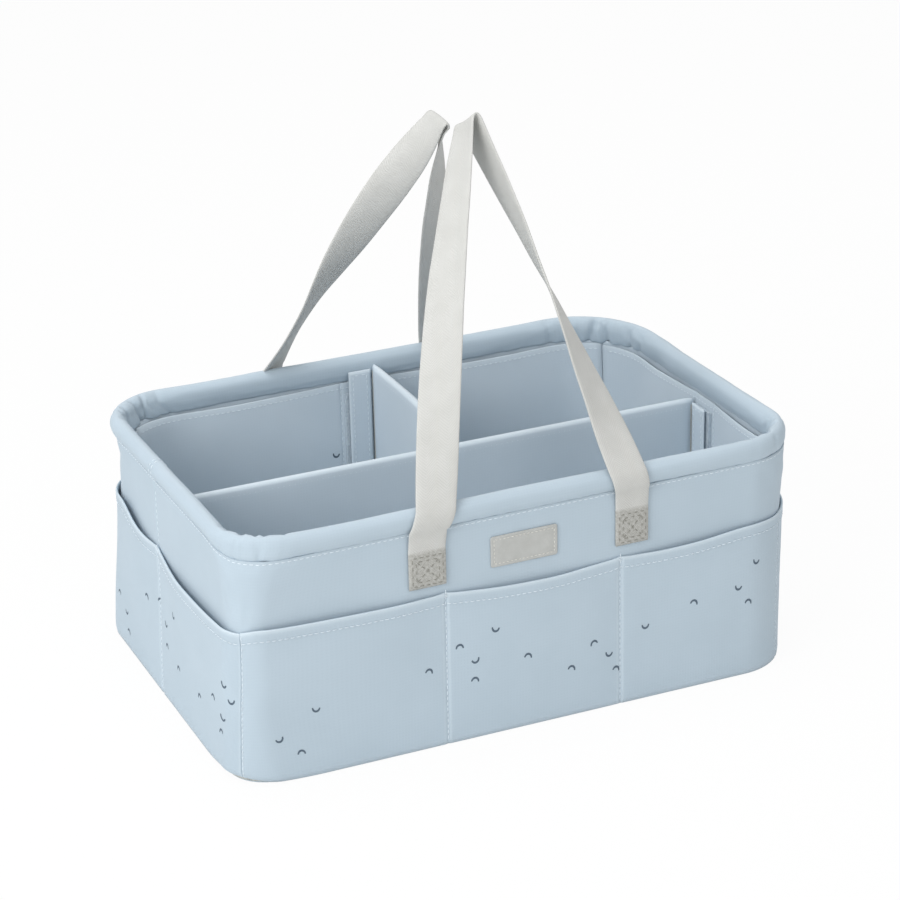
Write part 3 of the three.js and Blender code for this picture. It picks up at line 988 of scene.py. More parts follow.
@dataclass
class Shell:
    """The canvas shell: four walls in one round piece and the panel under the base."""

    bottom: float = 1.4
    edge: float = 1.9
    thickness: float = 0.9
    shown_from: float = 96.0
    sewn: tuple[float, float] = (103.0, 140.0)
    seams: Mapping[Side, float] = field(default_factory=lambda: {Side.LEFT: -10.0, Side.RIGHT: 10.0})

    def stand(self, side: Side, along: Array, height: Array) -> Array:
        """How far the shell's cloth stands out of the flat wall.

        Args:
            side: The wall.
            along: Places along it.
            height: Heights.

        Returns:
            The distance outward.
        """
        seed = 3.1 + side * 7
        upper = smooth_step(height, self.shown_from, self.shown_from + 12)
        corner = bump_at(PLAN.run(side) - np.abs(along), 22)
        slack = value_noise(along / 46, height / 30, seed) * 0.4
        crease = value_noise(along / 9 + height / 22, height / 13, seed + 1) * 0.8 * corner * upper
        fine = value_noise(along / 7, height / 9, seed + 2) * 0.07
        below = rim_foot(side, along) + 0.2 - height
        drawn = -0.5 * bump_at(below, 1.3)
        gathers = 0.16 * value_noise(along / 3.6, height / 40, seed + 4) * bump_at(below, 7)
        seam = 0.0
        if side in self.seams:
            seam = -0.5 * bump_at(along - self.seams[side], 0.9) * upper
        return 0.25 + slack + crease + fine + drawn + gathers + seam

    def build(self) -> None:
        """Make the walls, their seams and the base panel."""
        lower = np.linspace(self.bottom, self.shown_from - 2, 16)
        upper = np.linspace(0, 1, 30)
        walls = []
        for side in Side:
            run = PLAN.run(side)
            marks = [self.seams[side]] if side in self.seams else []
            along = columns_between(-run, run, 3.0, marks)[:-1, None]
            top = rim_foot(side, along) + self.edge
            shown = self.shown_from + (top - self.shown_from) * upper
            rows = np.concatenate([lower + 0 * along, shown], axis=1)
            depth = rounded_foot(side, along, rows) - self.stand(side, along, rows)
            face = wall_points(side, along, depth, rows)
            back = wall_points(side, along, np.maximum(depth + self.thickness, 1.0), rows)
            # The walls' folded top edge under the roll gets a faint painted highlight.
            walls.append((along, face, back, 0.25 * bump_at(rows - top, 2.0)))
        names = [f"outer_{side.label}_panel" for side in Side]
        piece = Piece("outer_canvas", CANVAS, "shell_canvas", [round_sheet(walls)])
        piece.make("root", *names)
        self.build_base()
        self.build_seams()

    def build_base(self) -> None:
        """Make the canvas panel under the base, a thin plate with softened edges."""
        panel = plate_patch(2.4, 0.05, 1.2, 0.5, lambda x, y: 0 * x)
        Piece("base_canvas", CANVAS, "shell_canvas", [panel]).make("root", "outer_base_panel")

    def build_seams(self) -> None:
        """Sew the row under the rim and the upright seams of the end walls."""
        patches: list[Patch] = []
        for side in Side:
            run = PLAN.run(side)
            along = np.arange(-run, run + 1, 2.0)
            height = rim_foot(side, along) + 0.2
            patches += wall_row(side, along, -self.stand(side, along, height), height)
        for side, place in self.seams.items():
            height = np.arange(*self.sewn, 1.5)
            along = place + 0 * height
            patches += wall_row(side, along, -self.stand(side, along, height), height)
        Piece("shell_stitching", PALE_THREAD, "shell_canvas", patches).make()


def plate_patch(
    depth: float, bottom: float, top: float, edge: float, relief: Callable[[Array, Array], Array]
) -> Patch:
    """A rounded-rectangle plate with softened edges.

    Args:
        depth: How far its edge is drawn in from the plan.
        bottom: The height of its lower face.
        top: The height of its upper face.
        edge: The radius of its edges.
        relief: The upper face's rise at x and y.

    Returns:
        The patch: rings from the middle of the lower face over the edge to the upper face.
    """
    outline = []
    for side in Side:
        along = np.linspace(-PLAN.run(side), PLAN.run(side), 48, endpoint=False)
        outline.append(PLAN.place(side, along, depth, bottom))
    ring = np.concatenate(outline)
    reach = np.linalg.norm(ring, axis=1, keepdims=True)
    inner_shares = (0.002, 0.01, 0.2, 0.4, 0.55, 0.7, 0.82, 0.9, 0.95, 0.98)
    edge_shares = ((0.0, 0.0), (0.3, 0.08), (0.7, 0.3), (0.92, 0.7), (1.0, 1.0))
    under = [(ring * share, bottom) for share in inner_shares]
    under += [(ring * (1 - edge * (1 - out) / reach), bottom + edge * up) for out, up in edge_shares]
    over = [(flat, top - (height - bottom)) for flat, height in reversed(under)]
    rings = under + over
    points = np.stack(
        [np.column_stack([flat, np.full(len(flat), height)]) for flat, height in rings], axis=1
    )
    upper = points[:, len(rings) // 2 :]
    upper[..., 2] += relief(upper[..., 0], upper[..., 1])
    across = np.linspace(0, 1000, len(ring) + 1)
    along = lengths_along(points[0])
    return Patch(points, across, np.append(along, along[-1] + 1), None, True, True)


@dataclass
class OuterPockets:
    """The row of slack pockets sewn round the outside of the shell.

    The hems give, for each wall, heights at places along it: the elastic of the cloth lifts a
    hem towards the corners and lets it hang between two seams.
    """

    corner_seam_shift: tuple[float, float] = (5.5, 0.8)
    thickness: float = 1.0
    stitch_drop: float = 7.0
    allowance: float = 7.0
    cut_share: float = 1.01
    seams: tuple[tuple[float, ...], ...] = ((-58.0, 58.0), (10.0,), (-58.0, 58.0), (-10.0,))
    gapes: tuple[tuple[float, ...], ...] = ((2.8, 2.2, 1.8), (1.8, 2.6), (2.4, 2.0, 2.6), (3.0, 3.4))
    hems: tuple[tuple[tuple[float, float], ...], ...] = (
        (
            (-181, 100.2), (-163, 103.5), (-138, 102.2), (-90, 100.2), (-58, 100.6), (-23, 97.9),
            (16, 97.1), (58, 99.2), (85, 98.6), (112, 99.3), (154, 102.6), (181, 100.4),
        ),
        ((-120, 100.4), (-80, 102.8), (-36, 99.0), (10, 100.6), (46, 98.8), (84, 102.4), (120, 103.6)),
        (
            (-181, 103.6), (-150, 102.8), (-100, 99.6), (-58, 100.4), (0, 98.0), (58, 100.2),
            (104, 99.2), (150, 103.0), (181, 107.0),
        ),
        (
            (-120, 107.0), (-88, 110.0), (-70, 109.0), (-55, 105.5), (-40, 101.6), (-21, 100.2),
            (-10, 101.8), (2, 98.8), (17, 97.2), (36, 96.9), (54, 98.0), (72, 99.6), (90, 101.2),
            (120, 100.2),
        ),
    )

    def limits(self, side: Side) -> list[float]:
        """The ends of the wall's pockets, with the seams between them."""
        return [-PLAN.run(side), *self.seams[side], PLAN.run(side)]

    def drawn_round(self, side: Side, along: Array, height: Array) -> Array:
        """Find where cloth lies once the front left corner's seam is drawn round to the end wall.

        Args:
            side: The wall.
            along: Places along its pattern.
            height: Their heights.

        Returns:
            The places along the plan.
        """
        toward = {Side.FRONT: -along, Side.LEFT: along}.get(side, 0 * along)
        near = smooth_step(toward, PLAN.run(side) - 70, PLAN.run(side))
        top = self.hems[Side.FRONT][0][1]
        return along - near * np.interp(height, (0, top), self.corner_seam_shift)

    def points(self, side: Side, along: Array, depth: Array, height: Array) -> Array:
        """Points of the pockets' cloth at pattern places, as x, y and z."""
        return wall_points(side, self.drawn_round(side, along, height), depth, height)

    def slack(self, side: Side, along: Array) -> tuple[Array, Array]:
        """How slack the cloth is at places along a wall.

        Args:
            side: The wall.
            along: The places.

        Returns:
            The gape in millimetres, and the share of the way to a pocket's middle.
        """
        limits = self.limits(side)
        arches = [arch_between(along, low, high) for low, high in zip(limits, limits[1:])]
        return sum(gape * arch for gape, arch in zip(self.gapes[side], arches)), sum(arches)

    def seam_distance(self, side: Side, along: Array) -> Array:
        """The distance to the nearest seam."""
        return np.min([np.abs(along - limit) for limit in self.limits(side)], axis=0)

    def top(self, side: Side, along: Array) -> Array:
        """Find the hem's height, eased between the heights that the pattern gives.

        Args:
            side: The wall.
            along: Places along it.

        Returns:
            The heights.
        """
        places, heights = np.array(self.hems[side]).T
        eased = [np.interp(along + step, places, heights) for step in (-9, -6, -3, 0, 3, 6, 9)]
        seams = np.min([np.abs(along - seam) for seam in self.seams[side]], axis=0)
        return np.mean(eased, axis=0) + 0.7 * bump_at(seams, 4)

    def stand(self, side: Side, along: Array, height: Array) -> Array:
        """How far the pocket's shown face stands out of the shell's flat face.

        Args:
            side: The wall.
            along: Places along it.
            height: Heights.

        Returns:
            The distance outward.
        """
        seed = 41.3 + side * 5
        top = self.top(side, along)
        gape, share = self.slack(side, along)
        rise = np.clip(height / top, 0, 1)
        near = self.seam_distance(side, along)
        free = 1 - bump_at(near, 15)
        waves = value_noise(along / 44, height / 34, seed) * 0.6 * free
        waves = waves + value_noise(along / 17, height / 15, seed + 1) * 0.16 * free
        droop = 0.4 * np.sin(np.pi * rise) * share
        pucker = value_noise(height / 4.4, along / 26, seed + 2) * 0.24
        pucker = pucker * np.exp(-near / 6) * (1 - bump_at(near, 1.4))
        corner = PLAN.run(side) - np.abs(along)
        dents = -1.3 * np.clip(value_noise(height / 8, along / 40, seed + 3), 0, 1)
        dents = dents * bump_at(corner - 7, 5) * bump_at(height - 30, 22)
        dents = dents * (side is Side.LEFT) * (along > 0)
        seam = -0.6 * bump_at(near, 1.0) * smooth_step(corner, 1, 4) - 0.25 * bump_at(corner, 0.8)
        line = -0.3 * bump_at(top - self.stitch_drop - height, 0.9)
        doubled = 0.45 * smooth_step(height, top - self.stitch_drop - 0.6, top - self.stitch_drop)
        gathers = 0.1 * value_noise(along / 3.2, height / 30, seed + 5)
        gathers = gathers * bump_at(top - self.stitch_drop - height, 6)
        return (
            1.45
            + gape * leaves_wall(rise)
            + waves * smooth_step(height, 0, 12)
            + droop
            + pucker
            + dents
            + seam
            + line
            + doubled
            + gathers
            + 0.35 * share * smooth_step(rise, 0.9, 1.0)
        )

    def build(self) -> None:
        """Make the four pocket panels and sew them."""
        for side in Side:
            self.build_panel(side)
            self.build_stitching(side)

    def build_panel(self, side: Side) -> None:
        """Make a wall's pocket panel.

        Args:
            side: The wall.
        """
        run = PLAN.run(side)
        along = columns_between(-run + 0.15, run - 0.15, 2.6, [*self.seams[side], -run, run])
        top = self.top(side, along)
        heights, set_back = hem_rows(top, 0.3, 42, self.thickness * 0.75)
        spread = along[:, None] + 0 * heights
        turned_in = rounded_foot(side, spread, heights)
        depth = turned_in - self.stand(side, spread, heights)
        doubled = 0.5 * smooth_step(heights, top[:, None] - 8, top[:, None] - 7)
        inner = np.minimum(depth + self.thickness + doubled, turned_in - 0.1)
        inner = np.maximum(inner, depth + 0.45)
        # Painted highlight: the hem's folded top and the seam ridges are painted paler where they catch
        # the light; the foot of the panel is painted a little paler too.
        highlight_and_press = np.clip(
            bump_at(top[:, None] - heights, 1.5)
            + 0.4 * bump_at(self.seam_distance(side, spread) - 1.6, 0.8)
            + 0.3 * bump_at(heights, 3.0),
            0,
            1,
        )
        patch = sheet_patch(
            self.points(side, spread, depth + set_back, heights),
            self.points(side, spread, inner - set_back, heights),
            along + run,
            highlight_and_press,
        )
        piece = Piece(f"{side.label}_pocket_canvas", CANVAS, "shell_canvas", [patch])
        piece.make("root", f"{side.label}_outer_pockets")

    def sewn_row(self, side: Side, along: Array, height: Array, out: float = 0.0) -> list[Patch]:
        """Sew a row through the pockets' cloth.

        Args:
            side: The wall.
            along: Places of the row's points along the pattern.
            height: Their heights.
            out: How far the row stands out of the cloth.

        Returns:
            One patch for each stitch.
        """
        level = np.minimum(height, self.top(side, along) - 1)
        depth = rounded_foot(side, along, height) - self.stand(side, along, level) - out
        return wall_row(side, self.drawn_round(side, along, height), depth, height)

    def build_stitching(self, side: Side) -> None:
        """Sew a wall's hem, its seams and one corner seam.

        Args:
            side: The wall.
        """
        run = PLAN.run(side)
        along = np.arange(-run + 1, run - 1, 2.0)
        patches = self.sewn_row(side, along, self.top(side, along) - self.stitch_drop)
        for seam in self.seams[side]:
            top = float(self.top(side, np.array([seam]))[0])
            height = np.arange(3.0, top + 3.5, 1.5)
            patches += self.sewn_row(side, seam + 0 * height, height, 0.1)
            for level in (top - 2.4, top - 1.5, top - 0.6):
                across = np.linspace(seam - 1.3, seam + 1.3, 5)
                patches += self.sewn_row(side, across, level + 0 * across, 0.15)
        corner = {Side.FRONT: [1.8 - run, run - 2.4], Side.LEFT: []}.get(side, [run - 2.4])
        for place in corner:
            height = np.arange(5.0, float(self.top(side, np.array([place]))[0]) - 1, 1.5)
            patches += self.sewn_row(side, place + 0 * height, height)
        Piece(f"{side.label}_pocket_stitching", PALE_THREAD, "shell_canvas", patches).make()


@dataclass
class ClothSettling:
    """Padded cloth left to the cloth solver: filled from inside, held at its seams, then kept.

    Gathered cloth is cut longer than the line it is sewn to, so it buckles into creases. How far
    a point may move is capped, more loosely where the cloth is gathered.
    """

    pressure: float = 6.0
    frames: int = 20
    gathered_fullness: float = 0.16
    even_reach: float = 0.7
    gathered_reach: float = 4.5

    def settle(self, made: bpy.types.Object, held: Array, gathered: Array) -> None:
        """Settle a piece and keep the shape it settles in.

        Args:
            made: The piece, which no body carries yet.
            held: Numbers of the points that its seams hold.
            gathered: How gathered the cloth is at each point, from 0 to 1.
        """
        pins = made.vertex_groups.new(name="held")
        pins.add(held.tolist(), 1.0, "REPLACE")
        fuller = made.vertex_groups.new(name="gathered")
        for number, weight in enumerate(gathered.tolist()):
            fuller.add([number], weight, "REPLACE")
        modifier = made.modifiers.new("settling", "CLOTH")
        settings = modifier.settings
        settings.quality, settings.mass = 4, 0.1
        settings.use_pressure, settings.uniform_pressure_force = True, self.pressure
        settings.effector_weights.gravity = 0.0
        settings.vertex_group_mass, settings.vertex_group_shrink = pins.name, fuller.name
        settings.shrink_min, settings.shrink_max = 0.0, -self.gathered_fullness
        settings.tension_stiffness = settings.compression_stiffness = 12.0
        settings.bending_stiffness = 0.5
        scene = bpy.context.scene
        for frame in range(1, self.frames + 1):
            scene.frame_set(frame)
        settled = made.evaluated_get(bpy.context.evaluated_depsgraph_get())
        after = mesh_places(settled.to_mesh())
        settled.to_mesh_clear()
        before = mesh_places(made.data)
        moved = after - before
        reach = self.even_reach + (self.gathered_reach - self.even_reach) * gathered
        length = np.maximum(np.linalg.norm(moved, axis=1), 1e-9)
        kept = before + moved * np.minimum(1, reach * MM / length)[:, None]
        made.modifiers.remove(modifier)
        made.vertex_groups.clear()
        made.data.vertices.foreach_set("co", kept.astype(np.float32).ravel())
        made.data.update()
        scene.frame_set(1)


@dataclass
class PaddedRim:
    """The wadded roll bound round the mouth: a canvas tube, gathered a little at the corners."""

    top: float = 158.0
    centre_depth: float = 3.3
    half_thickness: float = 5.7
    unfilled: float = 0.5
    columns: int = 600
    crowding: float = 0.38
    rows: int = 34
    gathered_near: float = 22.0
    inner_drop: float = 1.22
    crease_depth: float = 2.6
    crease_width: float = 1.5
    creases: tuple[tuple[float, float], ...] = (
        (-27.0, 0.4), (-15.0, 0.8), (-4.0, 1.0), (6.0, 0.9), (15.0, 0.7), (26.0, 0.35),
    )
    join_side: Side = Side.LEFT
    join_place: float = -12.0

    def stations(self) -> tuple[Array, Array, Array]:
        """Places round the rim.

        Returns:
            The wall's number, the place along it and the distance round the rim, of each column.
        """
        total = sum(2 * PLAN.run(side) for side in Side)
        walls, places, runs, start = [], [], [], 0.0
        for side in Side:
            run = PLAN.run(side)
            count = int(round(self.columns * 2 * run / total))
            even = np.linspace(-1, 1, count, endpoint=False)
            crowded = self.crowding * np.sin(math.pi / 2 * even)
            places.append(run * ((1 - self.crowding) * even + crowded))
            walls.append(np.full(count, side))
            runs.append(places[-1] + run + start)
            start += 2 * run
        return np.concatenate(walls), np.concatenate(places), np.concatenate(runs)

    def swell(self, wall: Array, along: Array, run: Array, angle: Array) -> tuple[Array, Array]:
        """How far the padded cloth stands off the plain oval.

        Args:
            wall: The wall's number at each column.
            along: The place along it.
            run: The distance round the rim.
            angle: The angle round the section, 0 outward and a quarter turn up.

        Returns:
            The distance off the oval, and how near the stitched lips a point is.
        """
        half = self.half_runs(wall)
        corner = bump_at(half - np.abs(along), 20)[:, None]
        lip = np.maximum(bump_at(angle + 1.29, 0.55), bump_at(angle - 4.43, 0.55))[None, :]
        inner = np.clip(-np.cos(angle), 0, 1)[None, :]
        run, angle = run[:, None], angle[None, :]
        slack = 0.3 * value_noise(run / 34, angle / 1.3, 5.0)
        gathers = 0.22 * value_noise(run / 4.6, angle / 1.1, 9.0) * (0.25 + 0.75 * lip)
        valley = bump_at(value_noise(run / 7.5 + angle * 0.2, angle / 4.0, 13.0), 0.22)
        creases = (0.4 - 1.3 * valley) * corner * (0.1 + 0.9 * np.maximum(inner, 0.6 * lip))
        join = (wall == self.join_side)[:, None] * 1.0
        near_join = np.abs(along - self.join_place)[:, None]
        seam = join * (0.35 * bump_at(near_join, 4.5) - 0.95 * bump_at(near_join, 0.9))
        return slack + gathers + creases + seam, lip

    @staticmethod
    def half_runs(wall: Array) -> Array:
        """Half the length of the wall that each column stands on."""
        return np.array([PLAN.run(side) for side in Side])[wall]

    def half_height(self, side: Side, along: Array) -> Array:
        """Half the roll's height at places along a wall."""
        return (self.top - rim_foot(side, along)) / 2

    def section(self, side: Side, along: Array, angle: Array, off: Array) -> tuple[Array, Array]:
        """Find points of the roll's oval section, whose inner side hangs down to the pockets.

        Args:
            side: The wall.
            along: Places along it.
            angle: Angles round the section, 0 outward and a quarter turn up.
            off: How far the points stand off the plain oval.

        Returns:
            The depths and the heights.
        """
        half = self.half_height(side, along)
        across, up = np.cos(angle), np.sin(angle)
        hangs = (across < 0) & (up < 0)
        fuller = np.where(hangs, -(np.abs(across) ** 0.4), across)
        height = self.top - half + (half + off) * up * np.where(hangs, self.inner_drop, 1.0)
        return self.centre_depth - (self.half_thickness + off) * fuller, height

    def tube(self, angle: Array, off: Array) -> Array:
        """Find points of the whole roll.

        Args:
            angle: Angles round the section.
            off: How far the points stand off the plain oval, by column and angle.

        Returns:
            The points, by column and angle.
        """
        wall, along, _ = self.stations()
        points = np.zeros((len(along), len(angle), 3))
        for side in Side:
            here = wall == side
            places = along[here][:, None]
            depth, height = self.section(side, places, angle[None, :], off[here])
            points[here] = wall_points(side, places, depth, height)
        return points

    def build(self) -> None:
        """Make the roll and its wadding, and sew its join."""
        wall, along, run = self.stations()
        angle = np.linspace(-1.36, 4.5, self.rows)
        off, lip = self.swell(wall, along, run, angle)
        half = self.half_runs(wall)
        gathered = bump_at(half - np.abs(along), self.gathered_near)
        points = self.tube(angle, off - self.unfilled)
        girth = np.arange(self.rows + 1) * 1.4
        # Painted highlight: the top of the roll is painted paler where the light falls on it, and its
        # stitched lips a little paler too.
        highlight_and_press = 0.3 * bump_at(angle - 1.57, 0.5)[None, :] * np.ones_like(off)
        across = np.append(run, run[-1] + 2.9)
        patch = Patch(points, across, girth, highlight_and_press + 0.15 * lip, True, True)
        made = Piece("rim_canvas", CANVAS, "shell_canvas", [patch]).make(None, "rim_cover")
        numbers = np.arange(points.shape[0] * self.rows).reshape(-1, self.rows)
        held = numbers[:, [0, 1, -2, -1]].ravel()
        ClothSettling().settle(made, held, np.repeat(gathered, self.rows))
        self.press_creases(made, angle)
        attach(made, "root")
        turns = np.linspace(0, 2 * math.pi, 17)[:-1]
        core = self.tube(turns, -2.4 - 2.2 * gathered[:, None] + 0 * turns)
        patch = Patch(core, across, np.arange(17.0) * 2, None, True, True)
        Piece("rim_wadding", WADDING, "rim_foam", [patch]).make("root", "rim_padding")
        self.build_join(made)

    def press_creases(self, roll: bpy.types.Object, angle: Array) -> None:
        """Press the upright creases of the gathered corners into the cloth.

        Args:
            roll: The roll's canvas, with its points by column and angle.
            angle: The angles round the section.
        """
        wall, along, _ = self.stations()
        half = self.half_runs(wall)
        beyond = np.where(along > 0, along - half, along + half)[:, None]
        corner = np.where(along > 0, wall, (wall + 3) % 4)[:, None]
        creases = np.zeros((len(along), len(angle)))
        for number, (place, share) in enumerate(self.creases):
            place = place + 2.2 * np.sin(3.1 * corner + 2.3 * number)
            lean = 1.6 * np.sin(1.7 * corner + 4.1 * number) * (angle[None, :] - math.pi)
            creases += share * bump_at(beyond - place - lean, self.crease_width)
        inner = smooth_step(-np.cos(angle), -0.2, 0.5)[None, :]
        outer = 0.3 * smooth_step(np.cos(angle), 0.4, 0.9)[None, :]
        press = self.crease_depth * creases * (inner + outer)
        inward = self.tube(angle, 0 * press - 1) - self.tube(angle, 0 * press)
        moves = (inward * press[:, :, None]).reshape(-1, 3) * MM
        for vertex, move in zip(roll.data.vertices, moves, strict=True):
            vertex.co += Vector(move)

    def build_join(self, roll: bpy.types.Object) -> None:
        """Sew the two rows beside the join across the roll.

        Args:
            roll: The roll's canvas, which the rows lie on.
        """
        mesh = roll.data
        faces = [tuple(face.vertices) for face in mesh.polygons]
        surface = BVHTree.FromPolygons([tuple(vertex.co) for vertex in mesh.vertices], faces)
        patches: list[Patch] = []
        for offset in (-1.7, 1.7):
            angle = np.linspace(-1.1, 3.6, 40)
            place = self.join_place + offset + 0 * angle
            depth, height = self.section(self.join_side, place, angle, 0.15)
            away = level_away(self.join_side, place, height) * np.cos(angle)[:, None]
            away[:, 2] = np.sin(angle)
            line = wall_points(self.join_side, place, depth, height)
            line = [np.array(surface.find_nearest(Vector(spot * MM))[0]) / MM for spot in line]
            patches += STITCHING.row(np.array(line), away)
        Piece("rim_join_stitching", PALE_THREAD, "shell_canvas", patches).make()


@dataclass
class Lining:
    """The lining cloth of the walls and floor, and the pockets sewn to it."""

    depth: float = 5.6
    pocket_depth: float = 5.9
    pocket_thickness: float = 0.9
    floor: float = 5.8
    band: float = 24.0
    gape: float = 2.4
    droop: float = 0.9
    allowance: float = 8.0
    back_depth: float = 4.75
    stitch_drop: float = 4.0
    hems: tuple[float, ...] = (138.6, 138.8, 139.6, 138.6)
    centres: tuple[float, ...] = (0.0, -11.3, 9.3, 11.3)

    def build(self) -> None:
        """Make the wall lining, the floor and the four pocket panels."""
        self.build_walls()
        self.build_floor()
        for side in Side:
            self.build_pockets(side)

    def build_walls(self) -> None:
        """Make the lining of the walls in one round piece."""
        shares = np.concatenate([np.linspace(0, 0.87, 20), np.linspace(0.89, 1, 8)])
        walls = []
        for side in Side:
            run = PLAN.run(side)
            along = np.linspace(-run, run, int(2 * run / 4), endpoint=False)[:, None]
            rows = 6.2 + (rim_foot(side, along) - 6.0) * shares
            relief = 0.16 * value_noise(along / 30, rows / 22, 61 + side)
            depth = self.depth - 0.12 + relief - 0.1 * bump_at(rows, 14)
            face = wall_points(side, along, depth, rows)
            back = wall_points(side, along, self.back_depth, rows)
            walls.append((along, face, back, 0 * rows))
        names = [f"{side.label}_lining" for side in Side]
        piece = Piece("wall_lining_cloth", LINING, "lining_cloth", [round_sheet(walls)])
        piece.make("root", *names)

    def build_floor(self) -> None:
        """Make the floor lining, faintly quilted by the board under it."""

        def relief(x: Array, y: Array) -> Array:
            """The soft unevenness of cloth over a board."""
            return 0.12 * value_noise(x / 34, y / 30, 71) - 0.05

        floor = plate_patch(5.95, 4.85, self.floor, 0.45, relief)
        Piece("floor_lining_cloth", LINING, "lining_cloth", [floor]).make("root", "base_lining")

    def open_share(self, side: Side, along: Array) -> Array:
        """How open a pocket is at places along a wall.

        Args:
            side: The wall.
            along: The places.

        Returns:
            0 at the pocket's seams, 1 at its middle.
        """
        low, high = self.seams(side)
        run = PLAN.run(side)
        return arch_between(along, -run, low) + arch_between(along, high, run)

    def seams(self, side: Side) -> list[float]:
        """The upright seams of a wall's inner pockets."""
        centre = self.centres[side]
        return [centre - self.band / 2, centre + self.band / 2]

    def pocket_face(self, side: Side, along: Array, height: Array) -> Array:
        """The depth of the inner pockets' shown face.

        Args:
            side: The wall.
            along: Places along it.
            height: Heights.

        Returns:
            The depth inward from the shell's outer face.
        """
        seed = 81.0 + side * 3
        rise = np.clip(height / self.hems[side], 0, 1)
        share = self.open_share(side, along)
        near = np.min([np.abs(along - seam) for seam in self.seams(side)], axis=0)
        waves = value_noise(along / 33, height / 36, seed) * 0.5 * share
        pucker = 0.25 * value_noise(height / 4.6, along / 20, seed + 1) * np.exp(-near / 6)
        pucker = pucker * (share > 0.02)
        line = -0.28 * bump_at(self.hems[side] - self.stitch_drop - height, 0.9)
        return (
            self.pocket_depth
            + self.pocket_thickness
            + self.gape * share * leaves_wall(rise)
            + waves * smooth_step(height, 10, 40)
            + pucker
            - 0.45 * bump_at(near, 1.0)
            + line
        )

    def build_pockets(self, side: Side) -> None:
        """Make and sew one wall's inner pocket panel.

        Args:
            side: The wall.
        """
        run, hem = PLAN.run(side), self.hems[side]
        along = columns_between(-run + 0.2, run - 0.2, 3.4, self.seams(side))
        top = hem - self.droop * self.open_share(side, along)
        heights, set_back = hem_rows(top, self.floor + 0.4, 32, 0.55)
        spread = along[:, None] + 0 * heights
        depth = self.pocket_face(side, spread, heights)
        face = wall_points(side, spread, depth - set_back, heights)
        hidden = np.maximum(depth - self.pocket_thickness, self.pocket_depth - 0.1)
        back = wall_points(side, spread, np.minimum(hidden + set_back, depth - 0.2), heights)
        # Painted highlight along the folded top of the hem.
        highlight_and_press = bump_at(top[:, None] - heights, 1.4) * np.ones_like(heights)
        patch = sheet_patch(face, back, along + run, highlight_and_press)
        piece = Piece(f"{side.label}_inner_pocket_cloth", LINING, "lining_cloth", [patch])
        names = [f"{side.label}_{end}_inner_pocket" for end in ENDS[side]]
        piece.make("root", *names)
        level = np.arange(-run + 2, run - 2, 2.0)
        height = hem - self.droop * self.open_share(side, level) - self.stitch_drop
        patches = wall_row(side, level, self.pocket_face(side, level, height), height, True)
        for seam in self.seams(side):
            height = np.arange(12.0, hem - 1, 1.5)
            place = seam + 0 * height
            patches += wall_row(side, place, self.pocket_face(side, place, height), height, True)
        name = f"{side.label}_inner_pocket_stitching"
        Piece(name, PALE_THREAD, "lining_cloth", patches).make()


@dataclass(frozen=True)
class DividerPanel:
    """A padded panel of the insert: where its columns stand, how high it is, how it is sewn."""

    name: str
    body: str
    columns: Array
    column_tops: Array
    ends: tuple[float, float]
    seed: int
    sewn: tuple[float, float]
    sewn_top: Callable[[Array], Array]
    to_world: Callable[[Array, Array, Array], Array]
    print_seed: int
    print_density: float


@dataclass(frozen=True)
class HookTab:
    """A tab of the insert that carries hook tape, sewn round its edge."""

    node: str
    body: str
    level_axis: int
    sewn_inset: float = 3.0

    def build(self) -> None:
        """Make the tab's cloth and its stitching."""
        low, high = (np.array(corner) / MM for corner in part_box(self.node))
        level, thin = self.level_axis, 1 - self.level_axis
        inside = -1 if (low + high)[thin] > 0 else 1
        hidden, shown = (low[thin], high[thin])[::inside]
        across = np.linspace(low[level] + 0.1, high[level] - 0.1, 14)
        a, b = np.meshgrid(across, np.linspace(low[2], high[2], 60), indexing="ij")
        border = np.minimum(
            np.minimum(a - low[level], high[level] - a), np.minimum(b - low[2], high[2] - b)
        )
        soft = 0.45 * (1 - smooth_step(border, 0, 1.6)) + 0.15 * bump_at(border - 3, 0.7)
        uneven = 0.12 * value_noise(a / 6, b / 9, 113)
        face = np.zeros((*a.shape, 3))
        face[..., level], face[..., 2] = a, b
        back = face.copy()
        face[..., thin] = shown - inside * (soft + 0.12 + uneven)
        back[..., thin] = hidden + inside * 0.1
        name = self.node.replace("flange", "tab")
        # The tab's rounded border gets a painted highlight.
        patch = sheet_patch(face, back, across, 0.6 * bump_at(border, 1.2))
        Piece(f"{name}_cloth", LINING, "lining_cloth", [patch]).make(self.body, self.node)
        ends = (low + self.sewn_inset, high - self.sewn_inset)
        loop = np.full((5, 3), shown - inside * 0.3)
        for number, (u, z) in enumerate(((0, 0), (1, 0), (1, 1), (0, 1), (0, 0))):
            loop[number, [level, 2]] = ends[u][level], ends[z][2]
        away = np.zeros(3)
        away[thin] = inside
        patches: list[Patch] = []
        for start, end in zip(loop, loop[1:]):
            patches += straight_row(start, end, away, 12)
        Piece(f"{name}_stitching", PALE_THREAD, "lining_cloth", patches).make(self.body)


